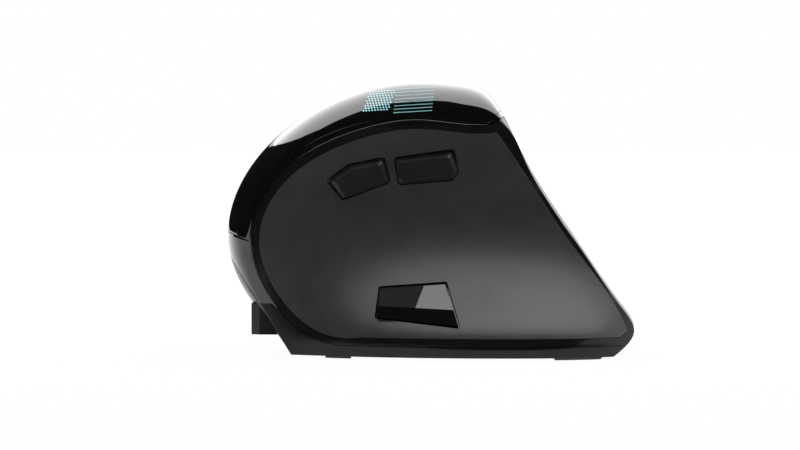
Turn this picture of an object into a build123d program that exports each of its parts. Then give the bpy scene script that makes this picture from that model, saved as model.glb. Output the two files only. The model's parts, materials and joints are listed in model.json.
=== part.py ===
from build123d import *
from functools import lru_cache
from math import cos, radians, sin, sqrt, tan
import os

# Envelope: nose at minus X, heel at plus X, thumb side at minus Y, desk at zero height
length = 112.0
height = 75.4
finger_reach = 39.0
crown_offset = 2.0
ridge_depth = 14.0
ledge_depth = 23.0
ridge_lap = 1.0
hollow_depth = 4.0
finger_foot_height = 8.0
finger_corner_draw = 27.0
finger_lap = 1.0
finger_fullness = 1.6
nose_draw = 20.0
heel_draw = 12.0
draw_power = 2.2
half_length = length / 2

# Walls, seams and cuts
wall = 2.0
floor_thickness = 1.8
foot_proud = 0.7
seam_gap = 0.15
overrun = 6.0
span = 400.0

# Thumb frame and the grip panel set into it
base_seam_height = 3.7
ring_width = 2.2
rim_width = 1.3
frame_back = -8.0
panel_thickness = 1.5
thumb_wall = 3.2
ring_tip_run = 8.0
ring_tip_rise = 5.6
panel_gap = 0.1
panel_ledge = 1.6

# Seams of the skin: nose, low front corner, ridge and its rear trim
nose_seam_height = 34.1
nose_seam_slope = 0.4
lip_run = 6.4
lip_rise = 9.9
lip_foot_inset = 7.1
lip_foot_height = 17.4
front_panel_foot = 14.5
front_panel_reach = 16.0
corner_slope = 0.6
corner_start = 33.6
ridge_seam_y = 5.0
trim_front_share = (0.284, 0.855)
trim_rear_share = (0.298, 0.842)
trim_front_tilt = 44.0
trim_rear_tilt = 34.0

# Main buttons and the strip between them, in the plane of the wheel on the finger side
wheel_x = -33.0
wheel_y = 20.0
strip_half_width = 5.5
button_rear = 31.0
button_foot = 27.0
button_gap = 0.5

# Scroll wheel
wheel_radius = 11.0
wheel_width = 6.5
wheel_proud = 3.5
tyre_thickness = 2.0
tyre_groove = 0.5
axle_radius = 1.25
wheel_hole_share = 0.6
wheel_hole_size_share = 0.2
running_gap = 0.05
slot_clearance = 0.7
spoke_count = 6
rib_count = 20

# Wheel carriage and the encoder beside it
arm_inner = 4.3
arm_thickness = 1.3
arm_height = 4.6
bridge_start = 12.6
bridge_thickness = 1.5
bridge_front_width = 2.4
bridge_rear_width = 5.8
guide_radius = 0.8
guide_clearance = 0.1
encoder_length = 6.0
encoder_width = 3.2
encoder_height = 7.0
encoder_gap = 0.6
encoder_bore_gap = 0.6

# Micro switches under the main buttons
micro_length = 12.8
micro_width = 5.8
micro_height = 6.5
micro_plunger_length = 2.8
micro_plunger_width = 1.2
micro_proud = 0.8
left_micro_x = -4.5
right_micro_x = -10.5
micro_y = 9.4
plunger_clearance = 0.06
plunger_room = 0.8
pocket_depth = 2.0
contact_gap = 0.1
rib_thickness = 2.0
rib_width = 4.0

# Small dome switches under the other buttons
tact_size = 6.0
tact_height = 3.4
tact_plunger_radius = 1.5
tact_proud = 0.9
wheel_tact_x = 15.6
dpi_x = 22.3
dpi_length = 7.0
dpi_width = 4.4
dpi_proud = 0.6
dpi_gap = 0.25
dpi_corner = 1.2
cap_thickness = 1.6

# Boards and the chassis wall that carries them
board_thickness = 1.4
finger_board_depth = 12.5
finger_board_front = 17.0
finger_board_rear = 27.0
finger_board_up = 12.4
finger_board_down = 17.0
chassis_thickness = 2.0
chassis_back = 0.0
chassis_clearance = 1.0
chassis_front = -47.0
chassis_foot_front = -36.0
chassis_arch_height = 20.0
chassis_rear = 34.0
chassis_boss_radius = 3.0
chassis_boss_height = 12.0
chassis_arm_width = 4.0
chassis_arm_thickness = 3.0
chassis_arm_up = 28.0
chassis_arm_down = 12.0
main_board_height = 7.0
main_board_front = -29.0
main_board_rear = 9.0
main_board_thumb = -21.0
main_board_finger = 22.0
board_boss_radius = 2.2
board_boss_shares = ((-0.42, -0.16), (0.06, -0.40), (0.06, 0.42), (-0.42, 0.36))
thumb_board_front = -31.0
thumb_board_rear = 9.0
thumb_board_bottom = 40.0
thumb_board_top = 56.0

# Screws
screw_radius = 1.0
screw_head_radius = 1.9
screw_head_height = 0.9
screw_length = 7.0
screw_clearance = 0.1
case_screw_x = (-32.0, 15.0, 30.0)
board_screw_radius = 0.7
board_screw_head_radius = 1.4
board_screw_head_height = 0.9
board_screw_length = 3.6

# Thumb buttons and the faceted key, corners as shares of half the length and of the height
forward_shares = ((-0.436, 0.564), (-0.200, 0.629), (-0.230, 0.724), (-0.407, 0.698), (-0.518, 0.637))
back_shares = ((-0.164, 0.619), (0.100, 0.635), (0.132, 0.666), (0.111, 0.753), (-0.189, 0.7215))
key_shares = ((-0.279, 0.147), (0.1375, 0.114), (0.0714, 0.277), (-0.259, 0.259))
forward_switch_share = (-0.355, 0.640)
back_switch_share = (-0.03, 0.685)
key_switch_share = (-0.08, 0.155)
thumb_gap = 0.35
thumb_corner = 1.0
thumb_proud = 1.5
thumb_depth = 3.0
thumb_bevel = 38.0
thumb_bevel_run = 2.3
thumb_tip_corner = 0.5
flange_width = 0.8
flange_thickness = 0.8
flange_gap = 0.15
stem_size = 3.0
key_corner = 0.6
key_ridge_share = 0.19
key_ridge_proud = 1.6
key_edge_proud = 0.3
key_depth = 3.2
key_switch_back = -14.0

# Port block under the nose with its charging socket
port_front = 49.3
port_rear = 38.0
port_y = -4.0
port_width = 20.0
port_bottom = 6.0
port_top = 14.4
port_bevel = 2.2
port_gap = 0.1
port_wall = 1.6
port_front_wall = 1.8
socket_width = 8.94
socket_height = 3.2
socket_depth = 7.3
socket_wall = 0.3
socket_recess = 0.2
socket_lift = 1.0
tongue_thickness = 0.7
tongue_width = 6.7
tongue_length = 4.5
port_board_length = 11.0
port_board_width = 12.0

# Display behind the ridge cover
display_x = -8.5
display_y = -8.0
display_length = 20.0
display_width = 8.0
display_tilt = 38.0
guide_depth = 3.0
display_board_thickness = 1.2

# Battery, sensor and slide switch
battery_x = -2.0
battery_length = 32.0
battery_width = 24.0
battery_thickness = 6.0
battery_height = 12.0
battery_fillet = 1.5
sensor_x = -6.0
sensor_y = -2.0
sensor_length = 11.0
sensor_width = 9.0
sensor_height = 2.2
lens_plate_length = 16.0
lens_plate_width = 12.0
lens_plate_thickness = 0.8
window_length = 12.0
window_width = 8.0
window_gap = 0.1
lens_sink = 0.5
lens_barrel_radius = 2.0
lens_gap = 0.1
slide_x = -14.0
slide_y = 10.0
slide_travel = 1.5
slide_body_length = 9.0
slide_body_width = 4.0
slide_body_height = 3.0
knob_length = 4.0
knob_width = 2.8
knob_gap = 0.15
knob_sink = 0.2
flange_lap = 1.0
knob_flange_thickness = 0.8
knob_stem = 1.2
knob_stem_height = 1.5

# Glide feet
foot_inset = 3.0
foot_recess = 0.3
front_foot = (-29.0, -22.0)
rear_foot = (33.0, 46.0)

# Side silhouette of the crown, shares of half the length and of the height
crown_shares = (
    (-0.63, -0.06), (-0.79, 0.11), (-0.925, 0.245), (-1.0, 0.43), (-0.935, 0.625), (-0.70, 0.83),
    (-0.41, 0.950), (-0.12, 0.998), (0.12, 0.992), (0.27, 0.958), (0.335, 0.895), (0.47, 0.695),
    (0.705, 0.425), (0.935, 0.18), (0.99, 0.10), (0.94, 0.04), (0.75, -0.06),
)

# Side silhouette where the ridge meets the thumb face, in the same shares
edge_shares = (
    (-0.62, -0.06), (-0.75, 0.09), (-0.83, 0.22), (-0.885, 0.42), (-0.83, 0.575), (-0.64, 0.72),
    (-0.40, 0.808), (-0.14, 0.850), (0.10, 0.857), (0.25, 0.850), (0.335, 0.835), (0.465, 0.68),
    (0.70, 0.415), (0.93, 0.17), (0.98, 0.095), (0.93, 0.04), (0.73, -0.06),
)

# Thumb face: plan shares of the length, ledge bulge and hollow, then the same up the height
face_x_shares = (-1.15, -0.9, -0.72, -0.5, -0.2, 0.1, 0.4, 0.7, 0.9, 1.0, 1.15)
face_bulge_shares = (-0.08, -0.04, 0.05, 0.38, 0.75, 0.95, 1.0, 0.86, 0.5, 0.2, -0.4)
face_hollow_shares = (0.0, 0.0, 0.25, 0.6, 0.95, 1.0, 0.75, 0.3, 0.0, 0.0, 0.0)
level_shares = (-0.1, 0.0, 0.075, 0.15, 0.25, 0.37, 0.52, 0.68, 0.84, 1.1)
level_flare_shares = (0.85, 0.92, 1.0, 0.80, 0.48, 0.2, 0.04, 0.0, 0.0, 0.0)
level_hollow_shares = (0.0, 0.0, 0.0, 0.0, 0.25, 0.7, 1.0, 0.7, 0.15, 0.0)

# Front and top run of the ring, shares of half the length and of the height
ring_shares = (
    (-0.40, 0.049), (-0.643, 0.10), (-0.782, 0.208), (-0.882, 0.408), (-0.827, 0.572),
    (-0.645, 0.718), (-0.36, 0.818), (-0.06, 0.855), (0.234, 0.838), (0.300, 0.842),
)

# Rear run of the grip panel beside the rear slope, in the same shares
rear_shares = ((0.340, 0.815), (0.465, 0.68), (0.70, 0.415), (0.93, 0.17), (0.975, 0.10))

ridge_steps = (1.0, 0.95, 0.8, 0.55, 0.28, 0.0)
finger_steps = (0.22, 0.45, 0.66, 0.83, 0.94, 1.0)


def side_section(points, y):
    """One upright section of the dome: a closed curve with a flat floor."""
    row = [Vector(x, y, z) for x, z in points]
    return Wire([Edge.make_spline(row), Edge.make_line(row[-1], row[0])])


def blend_profile(share, half, tall):
    """Silhouette between the crown line and the thumb edge."""
    return [((c[0] + (e[0] - c[0]) * share) * half, (c[1] + (e[1] - c[1]) * share) * tall)
            for c, e in zip(crown_shares, edge_shares)]


def finger_profile(step, half, tall):
    """Silhouette drawn in and lowered towards the finger side."""
    foot = finger_foot_height / tall
    drop = foot + (1 - foot) * (1 - step ** finger_fullness) ** (1 / finger_fullness)
    nose = 1 - nose_draw / half * step ** draw_power
    heel = 1 - heel_draw / half * step ** draw_power
    return [(x * half * (nose if x < 0 else heel), z * tall * (drop if z > 0 else 1))
            for x, z in crown_shares]


def ridge_side(inset=0.0):
    """Body from the thumb edge of the ridge over the crown to the finger side."""
    half = half_length - inset
    tall = height - inset
    rows = []
    for step in ridge_steps:
        share = 1 - sqrt(1 - step * step)
        rows.append(side_section(blend_profile(share, half, tall), -crown_offset - ridge_depth * step))
    for step in finger_steps:
        y = -crown_offset + (finger_reach + finger_lap - inset + crown_offset) * step
        rows.append(side_section(finger_profile(step, half, tall), y))
    return Solid.make_loft(rows)


def thumb_side(inset=0.0):
    """Body on the thumb side of the ridge, its edge silhouette run straight out."""
    edge = blend_profile(1.0, half_length - inset, height - inset)
    start = -crown_offset - ridge_depth
    end = start - ledge_depth - overrun
    return Solid.make_loft([side_section(edge, end), side_section(edge, start + ridge_lap)], True)


@lru_cache
def block(inset=0.0):
    """Everything behind the hollow thumb face and its flared ledge."""
    rows = []
    for level, flare, hollow in zip(level_shares, level_flare_shares, level_hollow_shares):
        z = level * height
        row = []
        for x_share, bulge, dish in zip(face_x_shares, face_bulge_shares, face_hollow_shares):
            y = -crown_offset - ridge_depth - ledge_depth * flare * bulge + hollow_depth * hollow * dish
            row.append(Vector(x_share * half_length, y + inset, z))
        corner = finger_reach - finger_corner_draw
        far = [Vector(row[-1].X, corner, z), Vector(0, finger_reach, z), Vector(row[0].X, corner, z)]
        rows.append(Wire([
            Edge.make_spline(row), Edge.make_line(row[-1], far[0]),
            Edge.make_three_point_arc(*far), Edge.make_line(far[2], row[0]),
        ]))
    return Solid.make_loft(rows)


def above(z):
    """Everything over a level."""
    return Pos(0, 0, z + span / 2) * Box(span, span, span)


def below(z):
    """Everything under a level."""
    return Pos(0, 0, z - span / 2) * Box(span, span, span)


def beyond(point, direction):
    """Everything past a plane, on the side that the direction points to."""
    return Plane(origin=point, z_dir=direction) * above(0)


def block_room(inset, floor):
    """Space behind the thumb face and over the floor."""
    return block(inset) & above(floor)


def form(inset, thumb_inset, floor):
    """Body of the mouse, drawn in all round and cut flat at its floor."""
    room = block_room(thumb_inset, floor)
    return (ridge_side(inset) & room) + (thumb_side(inset) & room)


def inset_path(points, distance):
    """Points of a clockwise path moved to its inner side."""
    moved = []
    last = len(points) - 1
    for index, (x, z) in enumerate(points):
        before = points[max(index - 1, 0)]
        after = points[min(index + 1, last)]
        run = after[0] - before[0]
        rise = after[1] - before[1]
        size = sqrt(run * run + rise * rise)
        moved.append((x + distance * rise / size, z - distance * run / size))
    return moved


def upright_prism(edges, start, end):
    """Closed outline drawn at one depth and run to another."""
    return Solid.extrude(Face(Wire(edges)), Vector(0, end - start, 0))


def ring_prism(grow):
    """Space inside the ring line, open past the rear slope."""
    start = -crown_offset - ridge_depth - ledge_depth - overrun
    points = inset_path([(x * half_length, z * height) for x, z in ring_shares], -grow)
    row = [Vector(x, start, z) for x, z in points]
    step = row[-1] - row[-2]
    far_x = half_length + overrun
    high = row[-1] + Vector(ring_tip_run, 0, ring_tip_rise)
    far = [high, Vector(far_x, start, row[-1].Z - step.Z), Vector(far_x, start, row[0].Z)]
    edges = [Edge.make_spline(row)]
    for a, b in zip([row[-1]] + far, far + [row[0]]):
        edges.append(Edge.make_line(a, b))
    return upright_prism(edges, start, frame_back + grow)


def panel_prism(inset):
    """Space inside the grip panel line, drawn in from the ring line."""
    start = -crown_offset - ridge_depth - ledge_depth - overrun
    points = inset_path([(x * half_length, z * height) for x, z in ring_shares], inset)
    rear = [(x * half_length - rim_width - inset + ring_width, z * height) for x, z in rear_shares]
    foot = base_seam_height + inset
    front_row = [Vector(x, start, z) for x, z in points[1:]]
    rear_row = [Vector(x, start, z) for x, z in rear]
    heel = Vector(rear_row[-1].X - inset, start, foot)
    toe = Vector(points[0][0] + inset, start, foot)
    edges = [
        Edge.make_spline([toe] + front_row), Edge.make_line(front_row[-1], rear_row[0]),
        Edge.make_spline(rear_row), Edge.make_line(rear_row[-1], heel), Edge.make_line(heel, toe),
    ]
    return upright_prism(edges, start, 0)


def base_zone(grow):
    """Tray under the seam, with the low front corner and the lip under the nose."""
    seam = below(base_seam_height + grow)
    corner = beyond((-half_length + corner_start, 0, base_seam_height + grow), (-corner_slope, 0, -1))
    corner = corner & below(front_panel_foot + grow)
    foot = Vector(-half_length + lip_foot_inset, 0, lip_foot_height)
    normal = Vector(-lip_rise, 0, -lip_run).normalized()
    lip = beyond(foot - normal * grow, normal) & beyond((-half_length / 2, 0, 0), (-1, 0, 0))
    return seam + corner + lip


def front_zone(grow):
    """Nose below its seam."""
    seam = Vector(-half_length, 0, nose_seam_height + grow)
    zone = beyond(seam, (-nose_seam_slope, 0, -1))
    return zone & beyond((-half_length + front_panel_reach + grow, 0, 0), (-1, 0, 0))


def tilted_seam(share, tilt):
    """Point and direction of a slanted seam across the ridge, facing the rear."""
    point = Vector(share[0] * half_length, 0, share[1] * height)
    return point, Vector(sin(radians(tilt)), 0, -cos(radians(tilt)))


def cover_zone(grow):
    """Ridge from the nose seam back to its rear trim."""
    point, rear = tilted_seam(trim_front_share, trim_front_tilt)
    zone = beyond((0, ridge_seam_y + grow, 0), (0, -1, 0))
    return zone & beyond(point + rear * grow, rear * -1)


def trim_zone(grow):
    """Thin band behind the ridge cover."""
    point, rear = tilted_seam(trim_rear_share, trim_rear_tilt)
    zone = beyond((0, ridge_seam_y + grow, 0), (0, -1, 0)) & above(height / 2)
    return zone & beyond(point + rear * grow, rear * -1)


def finger_plane(outer):
    """Plane on the finger side at the wheel: x towards the heel, y down the slope, z outwards."""
    skin = Face.cast(outer.faces().sort_by(Axis.Z)[-1].wrapped)
    point, normal = skin.find_intersection_points(Axis((wheel_x, wheel_y, 0), (0, 0, 1)))[-1]
    if normal.Z < 0:
        normal = normal * -1
    along = Vector(1, 0, 0) - normal * normal.X
    return Plane(origin=point, x_dir=along, z_dir=normal)


def finger_zone(plane, grow):
    """Both main buttons and the strip between them."""
    corner = Pos(button_rear + grow - span / 2, button_foot + grow - span / 2, 0)
    zone = plane * (corner * Box(span, span, span))
    return zone & beyond((0, ridge_seam_y - grow, 0), (0, 1, 0))


def part_off(skin, zone):
    """Cut a zone from the skin: the piece inside it and what is left, a seam apart."""
    return skin & zone(-seam_gap / 2), skin - zone(seam_gap / 2)


def skin_pieces(outer, inner):
    """Covers of the mouse, cut from one skin along its seams."""
    pieces = {}
    rest = outer - inner
    pieces["thumb_frame"], rest = part_off(rest, ring_prism)
    pieces["base_shell"], rest = part_off(rest, base_zone)
    pieces["front_panel"], rest = part_off(rest, front_zone)
    pieces["top_cover"], rest = part_off(rest, cover_zone)
    pieces["rear_trim"], rest = part_off(rest, trim_zone)
    plane = finger_plane(outer)
    fingers = rest & finger_zone(plane, 0)
    pieces["palm_cover"] = rest - finger_zone(plane, seam_gap)
    pieces["centre_strip"] = fingers & (plane * Box(span, strip_half_width * 2 - button_gap, span))
    for zone in (base_zone, front_zone, cover_zone):
        fingers -= zone(button_gap)
    shift = strip_half_width + button_gap / 2 + span / 2
    for name, side in (("left_button", -1), ("right_button", 1)):
        pieces[name] = fingers & (plane * (Pos(0, side * shift, 0) * Box(span, span, span)))
    pieces["thumb_frame"] = (thumb_frame(pieces["thumb_frame"]) - port_space()).fix()
    pieces["thumb_panel"] = (panel_prism(ring_width + panel_gap) & block(0)) - block(panel_thickness)
    return pieces


def thumb_frame(shell):
    """Ring round the grip with the ledge that the panel lies on."""
    pocket = panel_prism(ring_width) - block(panel_thickness + panel_gap)
    return shell - pocket - panel_prism(ring_width + panel_ledge)


def local_box(plane, x_range, y_range, z_range):
    """Box between limits along the axes of a plane."""
    sizes = [high - low for low, high in (x_range, y_range, z_range)]
    middle = [(high + low) / 2 for low, high in (x_range, y_range, z_range)]
    return plane * (Pos(*middle) * Box(*sizes))


def local_rod(plane, x, y, radius, bottom, top):
    """Round rod along the normal of a plane."""
    return plane * (Pos(x, y, (bottom + top) / 2) * Cylinder(radius, top - bottom))


def cross_rod(plane, x, z, radius, start, end):
    """Round rod along the y axis of a plane."""
    rod = Rot(90, 0, 0) * Cylinder(radius, end - start)
    return plane * (Pos(x, (start + end) / 2, z) * rod)


def desk_rod(x, y, radius, bottom, top):
    """Upright round rod."""
    return local_rod(Plane.XY, x, y, radius, bottom, top)


def desk_box(x_range, y_range, z_range):
    """Upright box between limits."""
    return local_box(Plane.XY, x_range, y_range, z_range)


def tact_switch(plane):
    """Small dome switch on a board: its housing and its round plunger."""
    half = tact_size / 2
    floor = tact_height - pocket_depth
    housing = local_box(plane, (-half, half), (-half, half), (0, tact_height))
    housing -= local_rod(plane, 0, 0, tact_plunger_radius + plunger_clearance, floor, tact_height + overrun)
    top = tact_height + tact_proud
    plunger = local_rod(plane, 0, 0, tact_plunger_radius, floor + plunger_room, top)
    return housing, plunger


def micro_switch(plane):
    """Snap switch on a board: its housing and its flat plunger."""
    half = micro_length / 2
    side = micro_width / 2
    floor = micro_height - pocket_depth
    long = micro_plunger_length / 2
    short = micro_plunger_width / 2
    housing = local_box(plane, (-half, half), (-side, side), (0, micro_height))
    housing -= local_box(plane, (-long - plunger_clearance, long + plunger_clearance),
                         (-short - plunger_clearance, short + plunger_clearance),
                         (floor, micro_height + overrun))
    top = micro_height + micro_proud
    plunger = local_box(plane, (-long, long), (-short, short), (floor + plunger_room, top))
    return housing, plunger


def moved_plane(plane, x, y, z):
    """The same plane started from another local point."""
    origin = plane.from_local_coords(Vector(x, y, z))
    return Plane(origin=origin, x_dir=plane.x_dir, z_dir=plane.z_dir)


def shifted(shape, direction):
    """Copy of a shape moved along a vector."""
    return shape.moved(Location(direction))


def main_buttons(pieces, outer, plane):
    """Add the post under each main button that meets its switch."""
    tip = -finger_board_depth + micro_height + micro_proud + contact_gap
    backing = shifted(outer, plane.z_dir * -wall / 2)
    for name, side, x in (("left_button", -1, left_micro_x), ("right_button", 1, right_micro_x)):
        y = side * micro_y
        post = local_box(plane, (x - rib_thickness / 2, x + rib_thickness / 2),
                         (y - rib_width / 2, y + rib_width / 2), (tip, overrun))
        pieces[name] = pieces[name] + (post & backing)
    slot_half = sqrt(wheel_radius ** 2 - (wheel_radius - wheel_proud - wall) ** 2) + slot_clearance
    slot_side = wheel_width / 2 + slot_clearance
    strip = pieces["centre_strip"]
    strip -= local_box(plane, (-slot_half, slot_half), (-slot_side, slot_side), (-overrun, overrun))
    strip -= dpi_outline(plane, dpi_gap)
    pieces["centre_strip"] = strip


def dpi_outline(plane, grow):
    """Rounded prism of the resolution button."""
    shape = RectangleRounded(dpi_length + 2 * grow, dpi_width + 2 * grow, dpi_corner + grow)
    return plane * (Pos(dpi_x, 0, -finger_board_depth) * extrude(shape, finger_board_depth + overrun))


def dpi_pieces(outer, plane):
    """Resolution button in the strip, with its switch."""
    top = shifted(outer, plane.z_dir * dpi_proud)
    bottom = shifted(outer, plane.z_dir * (dpi_proud - wall - cap_thickness))
    cap = (dpi_outline(plane, 0) & top) - bottom
    tip = -finger_board_depth + tact_height + tact_proud + contact_gap
    half = stem_size / 2
    stem = local_box(plane, (dpi_x - half, dpi_x + half), (-half, half), (tip, 0))
    cap += stem & shifted(outer, plane.z_dir * (dpi_proud - wall))
    housing, plunger = tact_switch(moved_plane(plane, dpi_x, 0, -finger_board_depth))
    return {"dpi_button": cap, "dpi_switch": housing, "dpi_plunger": plunger}


def wheel_pieces(plane):
    """Scroll wheel, tyre and axle in the slot of the strip."""
    z = wheel_proud - wheel_radius
    half = wheel_width / 2
    rim = wheel_radius - tyre_thickness
    core = cross_rod(plane, 0, z, rim, -half, half)
    for index in range(spoke_count):
        angle = radians(360 * index / spoke_count)
        reach = rim * wheel_hole_share
        core -= cross_rod(plane, reach * cos(angle), z + reach * sin(angle), rim * wheel_hole_size_share,
                          -half - overrun, half + overrun)
    core -= cross_rod(plane, 0, z, axle_radius, -half - overrun, half + overrun)
    tyre = cross_rod(plane, 0, z, wheel_radius, -half, half)
    tyre -= cross_rod(plane, 0, z, rim, -half - overrun, half + overrun)
    for index in range(rib_count):
        angle = radians(360 * index / rib_count)
        tyre -= cross_rod(plane, wheel_radius * cos(angle), z + wheel_radius * sin(angle), tyre_groove,
                          -half - overrun, half + overrun)
    end = arm_inner + arm_thickness
    axle = cross_rod(plane, 0, z, axle_radius, -end, end + encoder_gap + encoder_width)
    return {"scroll_wheel": core, "wheel_tyre": tyre, "wheel_axle": axle}


def carriage_pieces(plane):
    """Sprung carriage that carries the wheel, its guide pins, encoder and switch."""
    z = wheel_proud - wheel_radius
    low = z - arm_height / 2
    high = z + arm_height / 2
    outer_y = arm_inner + arm_thickness
    front = -bridge_start - bridge_front_width
    rear = bridge_start + bridge_rear_width
    tip = -finger_board_depth + tact_height + tact_proud + contact_gap
    frame = local_box(plane, (front, rear), (-outer_y, outer_y), (low, high))
    frame -= local_box(plane, (-bridge_start, bridge_start), (-arm_inner, arm_inner),
                       (low - overrun, high + overrun))
    frame -= local_box(plane, (bridge_start, rear + overrun), (-outer_y - overrun, outer_y + overrun),
                       (low - overrun, tip))
    frame -= local_box(plane, (bridge_start, rear + overrun), (-outer_y - overrun, outer_y + overrun),
                       (tip + bridge_thickness, high + overrun))
    frame -= cross_rod(plane, 0, z, axle_radius + running_gap, -outer_y - overrun, outer_y + overrun)
    pins = None
    pin_x = -bridge_start - bridge_front_width / 2
    for side in (-1, 1):
        y = side * arm_inner
        frame -= local_rod(plane, pin_x, y, guide_radius + guide_clearance, low - overrun, high + overrun)
        pin = local_rod(plane, pin_x, y, guide_radius, -finger_board_depth, high)
        pins = pin if pins is None else pins + pin
    board = moved_plane(plane, wheel_tact_x, 0, -finger_board_depth)
    housing, plunger = tact_switch(board)
    encoder_y = outer_y + encoder_gap
    encoder_end = encoder_y + encoder_width
    encoder = local_box(plane, (-encoder_length / 2, encoder_length / 2), (encoder_y, encoder_end),
                        (-finger_board_depth, -finger_board_depth + encoder_height))
    encoder -= cross_rod(plane, 0, z, axle_radius + encoder_bore_gap, encoder_y - overrun,
                         encoder_end + overrun)
    return {"wheel_carriage": frame, "carriage_pins": pins, "wheel_switch": housing,
            "wheel_plunger": plunger, "wheel_encoder": encoder}


def switch_pieces(plane):
    """Snap switches under the left and right buttons."""
    found = {}
    for name, side, x in (("left", -1, left_micro_x), ("right", 1, right_micro_x)):
        board = moved_plane(plane, x, side * micro_y, -finger_board_depth)
        found[f"{name}_switch"], found[f"{name}_plunger"] = micro_switch(board)
    return found


def board_pieces(plane, room):
    """Finger board, main board, thumb board and the chassis that holds them."""
    top = -finger_board_depth
    finger = local_box(plane, (-finger_board_front, finger_board_rear),
                       (-finger_board_up, finger_board_down), (top - board_thickness, top)) & room
    finger = finger & beyond((0, chassis_back + contact_gap, 0), (0, 1, 0))
    slot = sqrt(wheel_radius ** 2 - (finger_board_depth + wheel_proud - wheel_radius) ** 2) + slot_clearance
    side = wheel_width / 2 + slot_clearance
    finger -= local_box(plane, (-slot, slot), (-side, side), (top - overrun, top + overrun))
    faces = (chassis_back - chassis_thickness, chassis_back)
    chassis = desk_box((chassis_front, chassis_rear), faces, (0, height)) & room
    chassis -= desk_box((main_board_front - chassis_clearance, main_board_rear + chassis_clearance),
                        (-overrun, overrun), (0, chassis_boss_height))
    chassis -= desk_box((chassis_front - overrun, chassis_foot_front), (-overrun, overrun),
                        (0, chassis_arch_height))
    base_top = foot_proud + floor_thickness
    for x in case_screw_x:
        chassis += desk_rod(x, case_screw_y(), chassis_boss_radius, base_top, chassis_boss_height)
    for x in (-finger_board_front + chassis_arm_width / 2, finger_board_rear - chassis_arm_width):
        arm = local_box(plane, (x - chassis_arm_width / 2, x + chassis_arm_width / 2),
                        (-chassis_arm_up, chassis_arm_down),
                        (top - board_thickness - chassis_arm_thickness, top - board_thickness))
        chassis += arm & beyond((0, case_screw_y(), 0), (0, 1, 0))
    for x in case_screw_x:
        chassis -= desk_rod(x, case_screw_y(), screw_radius + running_gap / 2, 0, base_top + screw_length)
    main_board = desk_box((main_board_front, main_board_rear), (main_board_thumb, main_board_finger),
                          (main_board_height, main_board_height + board_thickness)) & room
    for x, y in board_boss_places():
        main_board -= desk_rod(x, y, board_screw_radius + screw_clearance, 0, height)
    thumb_board = desk_box((thumb_board_front, thumb_board_rear), (faces[0] - board_thickness, faces[0]),
                           (thumb_board_bottom, thumb_board_top)) & room
    return {"finger_board": finger, "chassis": chassis, "main_board": main_board, "thumb_board": thumb_board}


def case_screw_y():
    """Depth of the screws in the middle of the chassis wall."""
    return chassis_back - chassis_thickness / 2


def board_boss_places():
    """Bosses of the main board as desk positions."""
    return [(x * half_length, y * finger_reach) for x, y in board_boss_shares]


def outline_sketch(shares, grow, corner):
    """Rounded outline of a thumb piece in the side view."""
    points = [(x * half_length, z * height) for x, z in shares]
    sketch = Polygon(*points, align=None)
    if grow != 0:
        sketch = offset(sketch, amount=grow, kind=Kind.INTERSECTION)
    return fillet(sketch.vertices(), corner)


def side_plane(y):
    """Plane of the side view at a depth, facing the thumb side."""
    return Plane(origin=(0, y, 0), x_dir=(1, 0, 0), z_dir=(0, -1, 0))


def outline_prism(shares, grow, corner, start, end):
    """Rounded outline in the side view run between two depths."""
    return side_plane(end) * extrude(outline_sketch(shares, grow, corner), end - start)


def bevelled_prism(shares, grow, corner, turn):
    """Outline run straight to one depth and drawn in past it."""
    drawn = grow - thumb_bevel_run * tan(radians(thumb_bevel))
    wide = side_plane(turn) * outline_sketch(shares, grow, corner)
    narrow = side_plane(turn - thumb_bevel_run) * outline_sketch(shares, drawn, thumb_tip_corner)
    return loft([wide, narrow], ruled=True) + outline_prism(shares, grow, corner, turn, 0)


def face_depth(x, z):
    """Depth of the thumb face at a place in the side view."""
    found = []
    for face in block(0).faces():
        for point, normal in face.find_intersection_points(Axis((x, 0, z), (0, 1, 0))):
            found.append(point.Y)
    return min(found)


def thumb_button(shares, switch_share):
    """Raised thumb button with its flange behind the panel and its stem."""
    start = -crown_offset - ridge_depth - ledge_depth - overrun
    x = switch_share[0] * half_length
    z = switch_share[1] * height
    turn = face_depth(x, z)
    prism = bevelled_prism(shares, -thumb_gap, thumb_corner, turn)
    cap = (prism & block(-thumb_proud)) - block(thumb_depth)
    flange = outline_prism(shares, flange_width, thumb_corner, start, 0)
    flange = flange & block(panel_thickness + flange_gap)
    flange -= block(panel_thickness + flange_gap + flange_thickness)
    tip = chassis_back - chassis_thickness - board_thickness - tact_height - tact_proud - contact_gap
    half = stem_size / 2
    stem = desk_box((x - half, x + half), (start, tip), (z - half, z + half)) & block(panel_thickness)
    return cap + flange + stem


def thumb_pieces(panel):
    """Both thumb buttons and the key, their switches, and the panel with its openings."""
    found = {}
    start = -crown_offset - ridge_depth - ledge_depth - overrun
    places = (("forward", forward_shares, forward_switch_share), ("back", back_shares, back_switch_share))
    for name, shares, switch_share in places:
        found[f"{name}_button"] = thumb_button(shares, switch_share)
        panel -= outline_prism(shares, 0, thumb_corner, start, 0)
        board_face = chassis_back - chassis_thickness - board_thickness
        origin = (switch_share[0] * half_length, board_face, switch_share[1] * height)
        plane = Plane(origin=origin, x_dir=(1, 0, 0), z_dir=(0, -1, 0))
        found[f"{name}_switch"], found[f"{name}_plunger"] = tact_switch(plane)
    panel -= outline_prism(key_shares, 0, key_corner, start, 0)
    found["thumb_panel"] = panel
    found["thumb_key"] = thumb_key(start)
    base = main_board_height + board_thickness + tact_size / 2
    plane = Plane(origin=(key_switch_share[0] * half_length, key_switch_back, base), x_dir=(1, 0, 0),
                  z_dir=(0, -1, 0))
    found["key_switch"], found["key_plunger"] = tact_switch(plane)
    return found


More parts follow.
